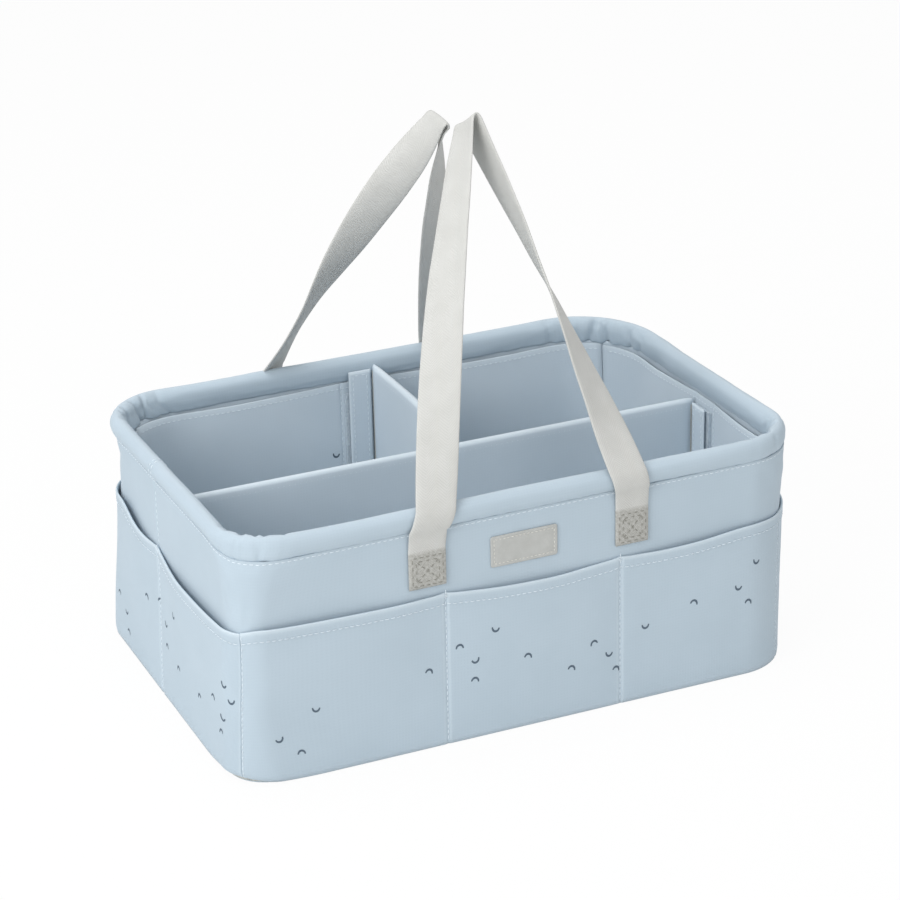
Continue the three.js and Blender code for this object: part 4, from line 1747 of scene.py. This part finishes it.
@dataclass
class DividerInsert:
    """The T-shaped insert: a long panel, a wing sewn to it, and tabs with hook tape."""

    thickness: float = 6.0
    bottom: float = 6.1
    long_top: float = 135.5
    long_half: float = 179.2
    wing_top: float = 150.0
    wing_start: float = 3.6
    wing_end: float = 118.7
    wing_x: float = 2.0
    stitch_drop: float = 5.0

    def wing_height(self, y: Array) -> Array:
        """The height of the wing's top edge."""
        share = (self.wing_end - y) / (self.wing_end - self.wing_start)
        return self.wing_top - (self.wing_top - self.long_top) * np.clip(share, 0, 1) ** 6

    def panels(self) -> tuple[DividerPanel, DividerPanel]:
        """Describe the insert's panels.

        Returns:
            The long panel and the wing.
        """

        def along_x(place: Array, off: Array, height: Array) -> Array:
            """A point of the long panel."""
            return np.stack(np.broadcast_arrays(place, off, height), axis=-1)

        def along_y(place: Array, off: Array, height: Array) -> Array:
            """A point of the wing."""
            return np.stack(np.broadcast_arrays(self.wing_x + off, place, height), axis=-1)

        half, start, end = self.long_half, self.wing_start, self.wing_end
        places = np.concatenate([[-half, 1 - half], np.linspace(-176, 176, 110), [half - 1, half]])
        tops = np.full(len(places), self.long_top) - 0.5 * bump_at(np.abs(places) - half, 3)
        rows = np.concatenate([[start, 4.4], np.linspace(6, 116.5, 46), [118.0, end]])
        return (
            DividerPanel(
                name="long_divider", body="divider", columns=places, column_tops=tops,
                ends=(-half, half), sewn=(-175.0, 175.1), to_world=along_x,
                sewn_top=lambda place: self.long_top + 0 * place,
                seed=101, print_seed=53, print_density=0.9,
            ),
            DividerPanel(
                name="cross_divider", body="cross_divider", columns=rows,
                column_tops=self.wing_height(rows), ends=(start, end), sewn=(7.0, 115.1),
                to_world=along_y, sewn_top=self.wing_height,
                seed=107, print_seed=63, print_density=1.0,
            ),
        )

    def swell(self, panel: DividerPanel, place: Array, height: Array) -> Array:
        """Half a padded panel's thickness at places on its face.

        Args:
            panel: The panel.
            place: Places along it.
            height: Heights.

        Returns:
            Half the thickness.
        """
        low, high = panel.ends
        edge = np.minimum(np.minimum(place - low, high - place), height - self.bottom)
        full = 0.45 + 0.55 * smooth_step(edge, -1, 7)
        uneven = 0.16 * value_noise(place / 26, height / 24, panel.seed)
        return (self.thickness / 2 - 0.15) * full + uneven * smooth_step(edge, 0, 10) - 0.1

    def folded(self, panel: DividerPanel) -> Patch:
        """Fold a panel's cloth over its top edge.

        Args:
            panel: The panel.

        Returns:
            The closed patch.
        """
        radius = self.thickness / 2 - 0.3
        top = panel.column_tops[:, None]
        heights, set_back = hem_rows(panel.column_tops, self.bottom + 0.2, 30, radius)
        spread = panel.columns[:, None] + 0 * heights
        half = self.swell(panel, spread, np.minimum(heights, top - radius))
        line = 0.4 * bump_at(top - self.stitch_drop - heights, 0.9)
        half = np.maximum(half - set_back * half / radius - line, 0.05)
        faces = [panel.to_world(spread, way * half, heights) for way in (1, -1)]
        patch = sheet_patch(*faces, panel.columns)
        # Painted highlight along the folded top edge of the panel.
        highlight_and_press = bump_at(top - heights, 2.0) * np.ones_like(heights)
        patch.rubbed = np.concatenate([highlight_and_press, highlight_and_press[:, ::-1]], axis=1)
        return patch

    def build(self) -> None:
        """Make the long panel, the wing, the tabs and their stitching."""
        panels = self.panels()
        for panel in panels:
            piece = Piece(f"{panel.name}_cloth", LINING, "lining_cloth", [self.folded(panel)])
            piece.make(panel.body, f"{panel.name}_cover")
        for panel in panels:
            place = np.arange(*panel.sewn, 2.0)
            height = panel.sewn_top(place) - self.stitch_drop
            half = self.swell(panel, place, height) - 0.35
            patches: list[Patch] = []
            for facing in (-1, 1):
                middle = panel.to_world(place, 0 * place, height)
                away = panel.to_world(place, facing + 0 * place, height) - middle
                line = panel.to_world(place, facing * half, height)
                patches += STITCHING.row(line, away)
            name = f"{panel.name}_stitching"
            Piece(name, PALE_THREAD, "lining_cloth", patches).make(panel.body)
        for tab in (
            HookTab("long_divider_left_flange", "divider", 1),
            HookTab("long_divider_right_flange", "divider", 1),
            HookTab("cross_divider_flange", "cross_divider", 0),
        ):
            tab.build()


@dataclass
class CarryHandle:
    """A webbing strap, sewn down at both feet, that folds over at its top and twists on the way.

    Each pair is for the left leg and the right one: how far it bows aside, how late and how fast
    it turns into the fold, the share of its width at its foot, the height that it leans from, and
    how far it sways towards the mouth. Apex and fold are told as for the front handle.
    """

    name: str
    facing: int
    apex: tuple[float, float, float]
    anchor_mid: float
    bows: tuple[float, float]
    fold: tuple[float, float, float]
    biases: tuple[float, float]
    foot_shares: tuple[float, float] = (0.95, 0.95)
    lean_from: tuple[float, float] = (141.2, 141.2)
    sways: tuple[float, float] = (0.0, 0.0)
    delays: tuple[float, float] = (1.0, 1.0)
    width: float = 25.0
    thickness: float = 1.5
    anchor_spread: float = 67.5
    foot: float = 107.2
    foot_length: float = 22.6
    foot_stand: float = 1.3
    doubled: float = 0.35
    bend: tuple[float, float] = (128.5, 134.5)
    end_top: float = 131.0
    lean_degrees: float = 33.0
    fold_reach: float = 10.0
    fold_ease: float = 6.0
    shoulder: float = 1.6
    rim: PaddedRim = field(default_factory=PaddedRim)

    def over_rim(self) -> Array:
        """Find the strap's line from its foot up the wall and over the roll's shoulder.

        Returns:
            The line's points, as y and z.
        """
        lift = self.shoulder + self.thickness / 2
        roll = float(self.rim.half_height(Side.FRONT, np.array(0.0)))
        half_t, half_h = self.rim.half_thickness + lift, roll + lift
        lean = math.radians(self.lean_degrees)
        leaving = math.atan(math.tan(lean) * half_h / half_t)
        wall = -PLAN.width / 2 - SEAT - self.foot_stand
        straight = [(wall, height) for height in np.linspace(self.foot, self.end_top + 1, 12)]
        curve = [
            (
                -PLAN.width / 2 + self.rim.centre_depth - half_t * math.cos(angle),
                self.rim.top - roll + half_h * math.sin(angle),
            )
            for angle in np.linspace(-leaving, leaving, 12)
        ]
        return np.array(straight + curve)

    def across_fold(self) -> Array:
        """The direction of the fold at the top, as seen with the front handle's facing."""
        return unit(np.array(self.fold)) * np.array([1.0, self.facing, 1.0])

    def leg(self, side: int) -> tuple[Array, Array, Array]:
        """Find one leg's stations, foot first.

        Args:
            side: -1 for the left leg and 1 for the right.

        Returns:
            The centres, the directions along and the directions across.
        """
        index = (side + 1) // 2
        apex = np.array([self.apex[0], -self.apex[1], self.apex[2]])
        anchor = self.anchor_mid + side * self.anchor_spread
        profile = self.over_rim()
        low = self.lean_from[index]
        rise = np.clip((profile[:, 1] - low) / (apex[2] - low), 0, None)
        lower = np.column_stack([anchor + (apex[0] - anchor) * rise, profile])
        start = lower[-1]
        end = apex - self.fold_reach * (apex - start) / np.linalg.norm(apex - start)
        shares = np.linspace(0, 1, 46)[1:, None]
        upper = start + (end - start) * shares
        upper[:, :1] += side * self.bows[index] * np.sin(np.pi * shares)
        centres = np.vstack([lower, upper])
        along = unit(np.gradient(centres, axis=0))
        turn = np.clip((centres[:, 2] - start[2]) / (centres[-1, 2] - start[2]), 0, 1)
        turned = 1 - (1 - turn ** self.delays[index]) ** self.biases[index]
        angle = math.pi / 2 * turned[:, None]
        square = np.array([-side * 1.0, 0.0, 0.0])
        across = np.cos(angle) * square + np.sin(angle) * self.across_fold()
        freed = smooth_step(centres[:, 2], self.end_top, self.end_top + 26)
        sway = self.sways[index] * (bump_at(turn - 0.17, 0.2) + 0.3 * (1 - turn**2))
        across[:, 1] += self.facing * sway * freed
        return centres, along, unit(across)

    def stations(self) -> tuple[Array, Array, Array]:
        """The whole strap's stations from the left foot over the fold to the right foot.

        Returns:
            The centres, the half-width vectors across and the face normals.
        """
        left, right = self.leg(-1), self.leg(1)
        apex = np.array([self.apex[0], -self.apex[1], self.apex[2]])
        t = np.linspace(0, 1, 16)[1:-1, None]
        a, d = left[0][-1], right[0][-1]
        b, c = (end + (apex - end) * self.fold_ease / self.fold_reach for end in (a, d))
        fold_line = ((1 - t) ** 3 * a + 3 * t * (1 - t) ** 2 * b + 3 * t**2 * (1 - t) * c + t**3 * d)
        heading = unit((1 - t) ** 2 * (b - a) + 2 * t * (1 - t) * (c - b) + t**2 * (d - c))
        over = np.tile(self.across_fold(), (len(t), 1))
        centres = np.vstack([left[0], fold_line, right[0][::-1]])
        along = np.vstack([left[1], heading, -right[1][::-1]])
        across = np.vstack([left[2], over, right[2][::-1]])
        skew = np.cross(across, along)
        size = np.linalg.norm(skew, axis=1, keepdims=True)
        pinch = [
            share + (1 - share) * smooth_step(leg[0][:, 2], self.end_top, self.end_top + 45)
            for share, leg in zip(self.foot_shares, (left, right))
        ]
        width = np.concatenate([pinch[0], np.ones(len(t)), pinch[1][::-1]]) * self.width
        return centres, across * width[:, None] / 2 / size, skew / size

    def build(self) -> None:
        """Make the strap and sew its feet."""
        centres, half_width, normal = self.stations()
        mirror = np.array([1.0, self.facing, 1.0])
        run = lengths_along(centres)
        edges = np.array([-1.0, -0.94, -0.7, -0.35, 0.0, 0.35, 0.7, 0.94, 1.0])
        thin = np.array([0.45, 0.95, 1.0, 0.95, 0.92, 0.95, 1.0, 0.95, 0.45])
        cup = 0.5 * (edges**2 - 0.4)
        to_end = np.minimum(run, run[-1] - run)
        tip = smooth_step(to_end, -0.6, 1.2)
        waves = 0.35 * value_noise(run[:, None] / 24, edges[None, :] * 0.9, 131 + self.facing)
        waves = waves * smooth_step(to_end, 60, 90)[:, None]
        past_foot = to_end - self.foot_length
        double = 1 + self.doubled * (1 - smooth_step(past_foot, 0.6, 2.0))
        faces = []
        for way in (1, -1):
            off = way * self.thickness / 2 * thin[None, :] * (double * tip)[:, None]
            off = off + waves + cup[None, :] * smooth_step(to_end, 60, 100)[:, None]
            points = centres[:, None] + edges[None, :, None] * half_width[:, None]
            faces.append((points + off[..., None] * normal[:, None]) * mirror)
        points = np.concatenate([faces[0], faces[1][:, ::-1]], axis=1)
        width = np.concatenate([edges, edges[::-1], edges[:1]]) * self.width / 2
        pressed = 1 - smooth_step(past_foot, 0.0, 1.0)
        highlight_and_press = np.tile(pressed[:, None], (1, points.shape[1]))
        patch = Patch(points, run, width, highlight_and_press, False, True, True)
        piece = Piece(f"{self.name}_handle_webbing", WEBBING, "webbing", [patch])
        names = [f"{self.name}_handle_{part}" for part in ("strap", "left_end", "right_end")]
        made = piece.make(None, *names)
        self.turn_cloth(made)
        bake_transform(made)
        self.build_feet()

    @staticmethod
    def turn_cloth(made: bpy.types.Object) -> None:
        """Swap the cloth coordinates, so that the first one runs across the strap.

        Args:
            made: The strap.
        """
        layer = made.data.uv_layers["cloth"]
        values = np.empty(len(layer.data) * 2, np.float32)
        layer.data.foreach_get("uv", values)
        layer.data.foreach_set("uv", np.ascontiguousarray(values.reshape(-1, 2)[:, ::-1]).ravel())

    def build_feet(self) -> None:
        """Sew each foot down with two boxes and a cross."""
        out = self.foot_stand + self.thickness / 2 * (1 + self.doubled)
        y = -self.facing * (PLAN.width / 2 + SEAT + out)
        away = np.array([0.0, -self.facing, 0.0])
        patches: list[Patch] = []
        for side in (-1, 1):
            x = self.anchor_mid + side * self.anchor_spread
            lines = []
            for inset in (2.1, 4.6):
                reach = self.width / 2 * self.foot_shares[(side + 1) // 2] - inset
                low, high = self.foot + inset, self.foot + self.foot_length - inset
                turns = ((-1, low), (1, low), (1, high), (-1, high))
                box = [np.array([x + way * reach, y, z]) for way, z in turns]
                lines += zip(box, box[1:] + box[:1])
            for start, end in [*lines, (box[0], box[2]), (box[1], box[3])]:
                patches += straight_row(start, end, away, 16)
        Piece(f"{self.name}_handle_stitching", GREY_THREAD, "webbing", patches).make()


@dataclass
class LabelPatch:
    """A bare leathercloth patch, sewn round its edge."""

    centre: tuple[float, float] = (-6.0, 120.35)
    size: tuple[float, float] = (44.0, 20.0)
    corner: float = 1.6
    thickness: float = 0.9

    def outline(self, inset: float, count: int = 12) -> Array:
        """Find the patch's rounded outline.

        Args:
            inset: How far it is drawn in from the edge.
            count: Points at each corner.

        Returns:
            Points as x and z, in order round the patch.
        """
        half_x, half_z = self.size[0] / 2 - inset, self.size[1] / 2 - inset
        radius = min(max(self.corner - inset, 0.3), half_z)
        points = []
        for turn, (sx, sz) in enumerate(((1, 1), (-1, 1), (-1, -1), (1, -1))):
            x, z = self.centre[0] + sx * (half_x - radius), self.centre[1] + sz * (half_z - radius)
            for angle in np.linspace(0, math.pi / 2, count) + turn * math.pi / 2:
                points.append((x + radius * math.cos(angle), z + radius * math.sin(angle)))
        return np.array(points)

    def raised(self, inset: float, out: float) -> Array:
        """Raise the outline off the wall.

        Args:
            inset: How far it is drawn in from the edge.
            out: The share of the patch's thickness that it is raised by.

        Returns:
            Its points.
        """
        flat = self.outline(inset)
        y = np.full(len(flat), -PLAN.width / 2 - SEAT - out * self.thickness)
        return np.column_stack([flat[:, 0], y, flat[:, 1]])

    def build(self) -> None:
        """Make the patch and its stitching."""
        profile = (
            (9.99, 0.0), (3.5, 0.0), (0.3, 0.0), (0.0, 0.25), (0.0, 0.65), (0.25, 0.92),
            (0.8, 1.0), (1.6, 0.97), (2.2, 0.78), (2.8, 0.98), (4.5, 1.0), (9.96, 1.0), (9.99, 1.0),
        )
        points = np.stack([self.raised(inset, out) for inset, out in profile], axis=1)
        across = np.linspace(0, 128, len(points) + 1)
        along = np.arange(len(profile) + 1.0)
        patch = Patch(points, across, along, None, True, True)
        Piece("label_patch_leathercloth", PATCH, "label", [patch]).make("root", "label_patch")
        line = self.raised(2.2, 0.8)
        line = np.vstack([line, line[:1]])
        away = np.tile([0.0, -1.0, 0.0], (len(line), 1))
        fine = Stitching(length=1.8, gap=0.8, radius=0.28, rise=0.2)
        Piece("label_stitching", CREAM_THREAD, "label", fine.row(line, away)).make()


@dataclass
class PrintedArcs:
    """Small plain arcs screen-printed on the cloth, in loose groups."""

    pockets: OuterPockets
    lining: Lining
    divider: DividerInsert
    radius: float = 2.2
    stroke: float = 1.25
    sweep_degrees: float = 180.0
    proud: float = 0.07
    outside_height: float = 92.0
    inside_height: float = 126.0

    def arc(self, centre: tuple[float, float], turn: float, surface: Callable[[Array], Array]) -> Patch:
        """One printed arc.

        Args:
            centre: Where it is printed, in the cloth's own coordinates.
            turn: Its turn in degrees.
            surface: Gives the points of the cloth at cloth coordinates.

        Returns:
            A thin patch just proud of the cloth.
        """
        angles = np.radians(turn + np.linspace(0, self.sweep_degrees, 15) - self.sweep_degrees / 2)
        taper = np.sin(np.linspace(0.35, math.pi - 0.35, 15)) ** 0.35
        beside = np.array([[centre[0] - 0.5, centre[1]], [centre[0] + 0.5, centre[1]]])
        widened = float(np.linalg.norm(np.diff(surface(beside), axis=0)))
        rings = []
        for edge in (-0.5, -0.17, 0.17, 0.5):
            reach = self.radius + edge * self.stroke * taper
            x = centre[0] + reach * np.cos(angles) / widened
            rings.append(surface(np.column_stack([x, centre[1] + 1.15 * reach * np.sin(angles)])))
        return Patch(np.stack(rings, axis=1), np.arange(15.0), np.arange(4.0))

    def groups(
        self, width: float, height: float, seed: int, density: float
    ) -> list[tuple[float, float, float]]:
        """Lay out arcs in loose groups.

        Args:
            width: Width of the printed cloth.
            height: Its height.
            seed: Picks the layout.
            density: Groups for each 100 mm of width.

        Returns:
            The place and turn of each arc.
        """
        chooser = np.random.default_rng(seed)
        placed: list[tuple[float, float, float]] = []
        groups = max(int(width / 100 * density), 1)
        for index in range(groups):
            x = (index + 0.5) / groups * width + chooser.uniform(-14, 14)
            z = height * (0.3 + 0.4 * ((index * 0.618 + chooser.uniform(0, 0.2)) % 1))
            centre = np.array([x, z])
            for step in range(int(chooser.integers(3, 8))):
                angle = math.radians(137.5 * step + chooser.uniform(-20, 20))
                reach = (11.0 + 4 * chooser.uniform()) * math.sqrt(step)
                spot = centre + reach * np.array([math.cos(angle) * 1.25, math.sin(angle) * 0.8])
                inside = 7 < spot[0] < width - 7 and 8 < spot[1] < height - 14
                apart = all(math.hypot(spot[0] - x, spot[1] - z) > 11 for x, z, _ in placed)
                if inside and apart:
                    turn = (90 if step % 3 else -90) + chooser.uniform(-18, 18)
                    placed.append((float(spot[0]), float(spot[1]), turn))
        return placed

    def outside(self, side: Side, flat: Array) -> Array:
        """Find points just off the outer pockets' cloth.

        Args:
            side: The wall.
            flat: Cloth coordinates, from the wall's left end and the floor.

        Returns:
            The points.
        """
        along, height = flat[:, 0] - PLAN.run(side), flat[:, 1]
        depth = rounded_foot(side, along, height)
        depth = depth - (self.pockets.stand(side, along, height) + self.proud)
        return self.pockets.points(side, along, depth, height)

    def inside(self, side: Side, flat: Array) -> Array:
        """Find points just off the inner pockets' cloth.

        Args:
            side: The wall.
            flat: Cloth coordinates, from the wall's left end and the floor.

        Returns:
            The points.
        """
        along, height = flat[:, 0] - PLAN.run(side), flat[:, 1]
        depth = self.lining.pocket_face(side, along, height) + self.proud
        return wall_points(side, along, depth, height)

    def on_panel(self, panel: DividerPanel, facing: int, flat: Array) -> Array:
        """Find points just off a divider's cloth.

        Args:
            panel: The divider's panel.
            facing: Which of its faces, -1 or 1.
            flat: Cloth coordinates, from the panel's first end and the floor.

        Returns:
            The points.
        """
        place, height = flat[:, 0] + panel.ends[0], flat[:, 1]
        half = self.divider.swell(panel, place, height) + self.proud
        return panel.to_world(place, facing * half, height)

    def build(self) -> None:
        """Print the outer pockets, the inner pockets and both faces of the dividers."""
        for side in Side:
            for surface, cloth, slot, height, seed, density in (
                (self.outside, "pocket", "shell_canvas", self.outside_height, 11, 1.35),
                (self.inside, "inner", "lining_cloth", self.inside_height, 31, 0.9),
            ):
                marks = self.groups(2 * PLAN.run(side), height, seed + side, density)
                cloth_points = partial(surface, side)
                patches = [self.arc((x, z), turn, cloth_points) for x, z, turn in marks]
                Piece(f"{side.label}_{cloth}_print", INK, slot, patches).make()
        for panel in self.divider.panels():
            start, end = panel.ends
            patches = []
            for facing in (-1, 1):
                cloth_points = partial(self.on_panel, panel, facing)
                seed = panel.print_seed + facing
                marks = self.groups(end - start, self.inside_height, seed, panel.print_density)
                for x, z, turn in marks:
                    from_wing = abs(x + start - self.divider.wing_x)
                    if facing < 0 or panel.body != "divider" or from_wing > 12:
                        patches.append(self.arc((x, z), turn, cloth_points))
            Piece(f"{panel.name}_print", INK, "lining_cloth", patches).make(panel.body)


@dataclass
class CoreParts:
    """The stiffening boards behind the cloth, and the fastener tapes, which keep their shapes."""

    board_depth: float = 1.35
    board_thickness: float = 2.9
    board_bottom: float = 1.6
    board_height: float = 139.4
    finishes: Mapping[str, Finish] = field(
        default_factory=lambda: {"board": GREYBOARD, "hook_strip": HOOK_TAPE, "loop_strip": LOOP_TAPE}
    )

    def build(self, nodes: Mapping[str, bpy.types.Object]) -> None:
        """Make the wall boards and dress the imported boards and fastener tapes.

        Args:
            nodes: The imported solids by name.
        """
        for side in Side:
            self.build_board(side)
        for name, node in nodes.items():
            for ending, finish in self.finishes.items():
                if name.endswith(ending):
                    node.data.materials.clear()
                    node.data.materials.append(finish.material())
                    LOG.info("%s: %s", name, finish.name)

    def build_board(self, side: Side) -> None:
        """Make a wall's board, bent with the cloth round both its corners.

        Args:
            side: The wall.
        """
        run = PLAN.run(side)
        along = np.linspace(0.4 - run, run - 0.4, int(2 * run / 5))[:, None]
        heights = self.board_bottom + np.linspace(0, self.board_height, 16)
        face = wall_points(side, along, self.board_depth, heights)
        back = wall_points(side, along, self.board_depth + self.board_thickness, heights)
        patch = sheet_patch(face, back, along[:, 0] + run)
        piece = Piece(f"{side.label}_greyboard", GREYBOARD, "stiffener_board", [patch])
        piece.make("root", f"{side.label}_board")


@dataclass
class Studio:
    """The pale floor, the soft lamps and the camera."""

    location: tuple[float, float, float] = (-0.62174, -1.42553, 0.7885)
    turn_degrees: tuple[float, float, float] = (67.1226, 1.3373, -24.2634)
    lens: float = 106.512
    ambient: float = 0.58
    floor_reach: float = 6.0
    floor_level: float = -0.0002

    def build(self) -> None:
        """Set up the floor, the world, the lamps and the camera."""
        self.build_floor()
        self.build_world()
        self.add_lamp("key_lamp", (-1.6, -0.85, 1.15), 1.0, 17.5)
        self.add_lamp("top_lamp", (-0.3, 0.1, 2.2), 1.6, 17.0)
        self.add_lamp("fill_lamp", (0.1, -1.3, 0.6), 0.8, 1.2)
        data = bpy.data.cameras.new("camera")
        data.lens, data.sensor_width = self.lens, 36.0
        camera = bpy.data.objects.new("camera", data)
        camera.location = self.location
        camera.rotation_euler = Euler([math.radians(angle) for angle in self.turn_degrees])
        bpy.context.scene.collection.objects.link(camera)
        bpy.context.scene.camera = camera
        bpy.context.scene.view_settings.view_transform = "Standard"

    @staticmethod
    def shown_white(tree: Tree, base: Socket, share: float) -> Socket:
        """Mix plain white over a shader where the camera, gloss or glass sees it.

        Args:
            tree: The node tree.
            base: The shader that lights the scene.
            share: How much white there is.

        Returns:
            The mixed shader.
        """
        path = add_node(tree, "LightPath")
        seen = path.outputs["Is Camera Ray"]
        for other in ("Is Glossy Ray", "Is Transmission Ray"):
            seen = add_node(
                tree, "Math", {"operation": "MAXIMUM"}, {0: seen, 1: path.outputs[other]}
            ).outputs[0]
        amount = add_node(tree, "Math", {"operation": "MULTIPLY"}, {0: seen, 1: share})
        kind = "Background" if base.node.type == "BACKGROUND" else "Emission"
        white = add_node(tree, kind, inputs={"Color": linear("#FFFFFF"), "Strength": 1.0})
        mixed = add_node(tree, "MixShader", inputs={0: amount.outputs[0], 1: base, 2: white.outputs[0]})
        return mixed.outputs[0]

    def build_floor(self) -> None:
        """Make the floor sheet, which keeps a faint share of the caddy's shadow."""
        mesh = bpy.data.meshes.new("studio_floor")
        turns = ((-1, -1), (1, -1), (1, 1), (-1, 1))
        places = [(self.floor_reach * x, self.floor_reach * y, self.floor_level) for x, y in turns]
        mesh.from_pydata(places, [], [(0, 1, 2, 3)])
        material = bpy.data.materials.new("painted_plywood_floor")
        material.use_nodes = True
        tree = material.node_tree
        tree.nodes.clear()
        where = add_node(tree, "TexCoord").outputs["Object"]
        grain = add_node(tree, "TexNoise", inputs={"Vector": where, "Scale": 40.0})
        tone = add_node(
            tree,
            "Mix",
            {"data_type": "RGBA"},
            {0: grain.outputs[0], 6: linear("#F2F2F1"), 7: linear("#F6F6F5")},
        )
        matt = add_node(
            tree,
            "BsdfPrincipled",
            inputs={"Base Color": tone.outputs[2], "Roughness": 0.9, "Specular IOR Level": 0.1},
        )
        surface = self.shown_white(tree, matt.outputs[0], 0.94)
        add_node(tree, "OutputMaterial", inputs={"Surface": surface})
        mesh.materials.append(material)
        floor = bpy.data.objects.new("studio_floor", mesh)
        bpy.context.scene.collection.objects.link(floor)

    def build_world(self) -> None:
        """Light the scene evenly, with a white backdrop behind the floor."""
        world = bpy.data.worlds.new("studio_world")
        world.use_nodes = True
        tree = world.node_tree
        tree.nodes.clear()
        even = add_node(tree, "Background", inputs={"Color": linear("#FAFBFC"), "Strength": self.ambient})
        surface = self.shown_white(tree, even.outputs[0], 1.0)
        add_node(tree, "OutputWorld", inputs={"Surface": surface})
        bpy.context.scene.world = world

    @staticmethod
    def add_lamp(name: str, place: tuple[float, float, float], size: float, power: float) -> None:
        """Hang a soft square lamp that faces the caddy.

        Args:
            name: The lamp's name.
            place: Where it hangs.
            size: The length of its sides.
            power: Its power in watts.
        """
        data = bpy.data.lights.new(name, "AREA")
        data.shape, data.size, data.energy = "SQUARE", size, power
        lamp = bpy.data.objects.new(name, data)
        lamp.location = place
        x, y, z = place[0], place[1], place[2] - 0.1
        flat = math.hypot(x, y)
        lamp.rotation_euler = Euler((math.atan2(flat, z), 0.0, math.atan2(x, -y)))
        bpy.context.scene.collection.objects.link(lamp)


def main() -> None:
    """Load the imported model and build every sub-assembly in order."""
    logging.basicConfig(level=logging.INFO, format="%(message)s")
    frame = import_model()
    pockets, lining, divider = OuterPockets(), Lining(), DividerInsert()
    Studio().build()
    Shell().build()
    pockets.build()
    PaddedRim().build()
    lining.build()
    divider.build()
    CarryHandle(
        name="front", facing=1, apex=(14.5, 11.5, 354.5), anchor_mid=-1.8, bows=(4.0, 2.5),
        fold=(0.15, -0.85, 0.5), biases=(1.0, 1.35), foot_shares=(0.95, 0.88),
    ).build()
    CarryHandle(
        name="back", facing=-1, apex=(10.0, 14.5, 349.5), anchor_mid=-6.0, bows=(3.0, -2.0),
        fold=(0.0, -1.0, -0.08), biases=(1.0, 0.5), lean_from=(141.2, 131.0), sways=(0.88, 0.0),
        delays=(2.5, 1.0), anchor_spread=64.5,
    ).build()
    LabelPatch().build()
    PrintedArcs(pockets, lining, divider).build()
    CoreParts().build(frame["nodes"])


if __name__ == "__main__":
    main()
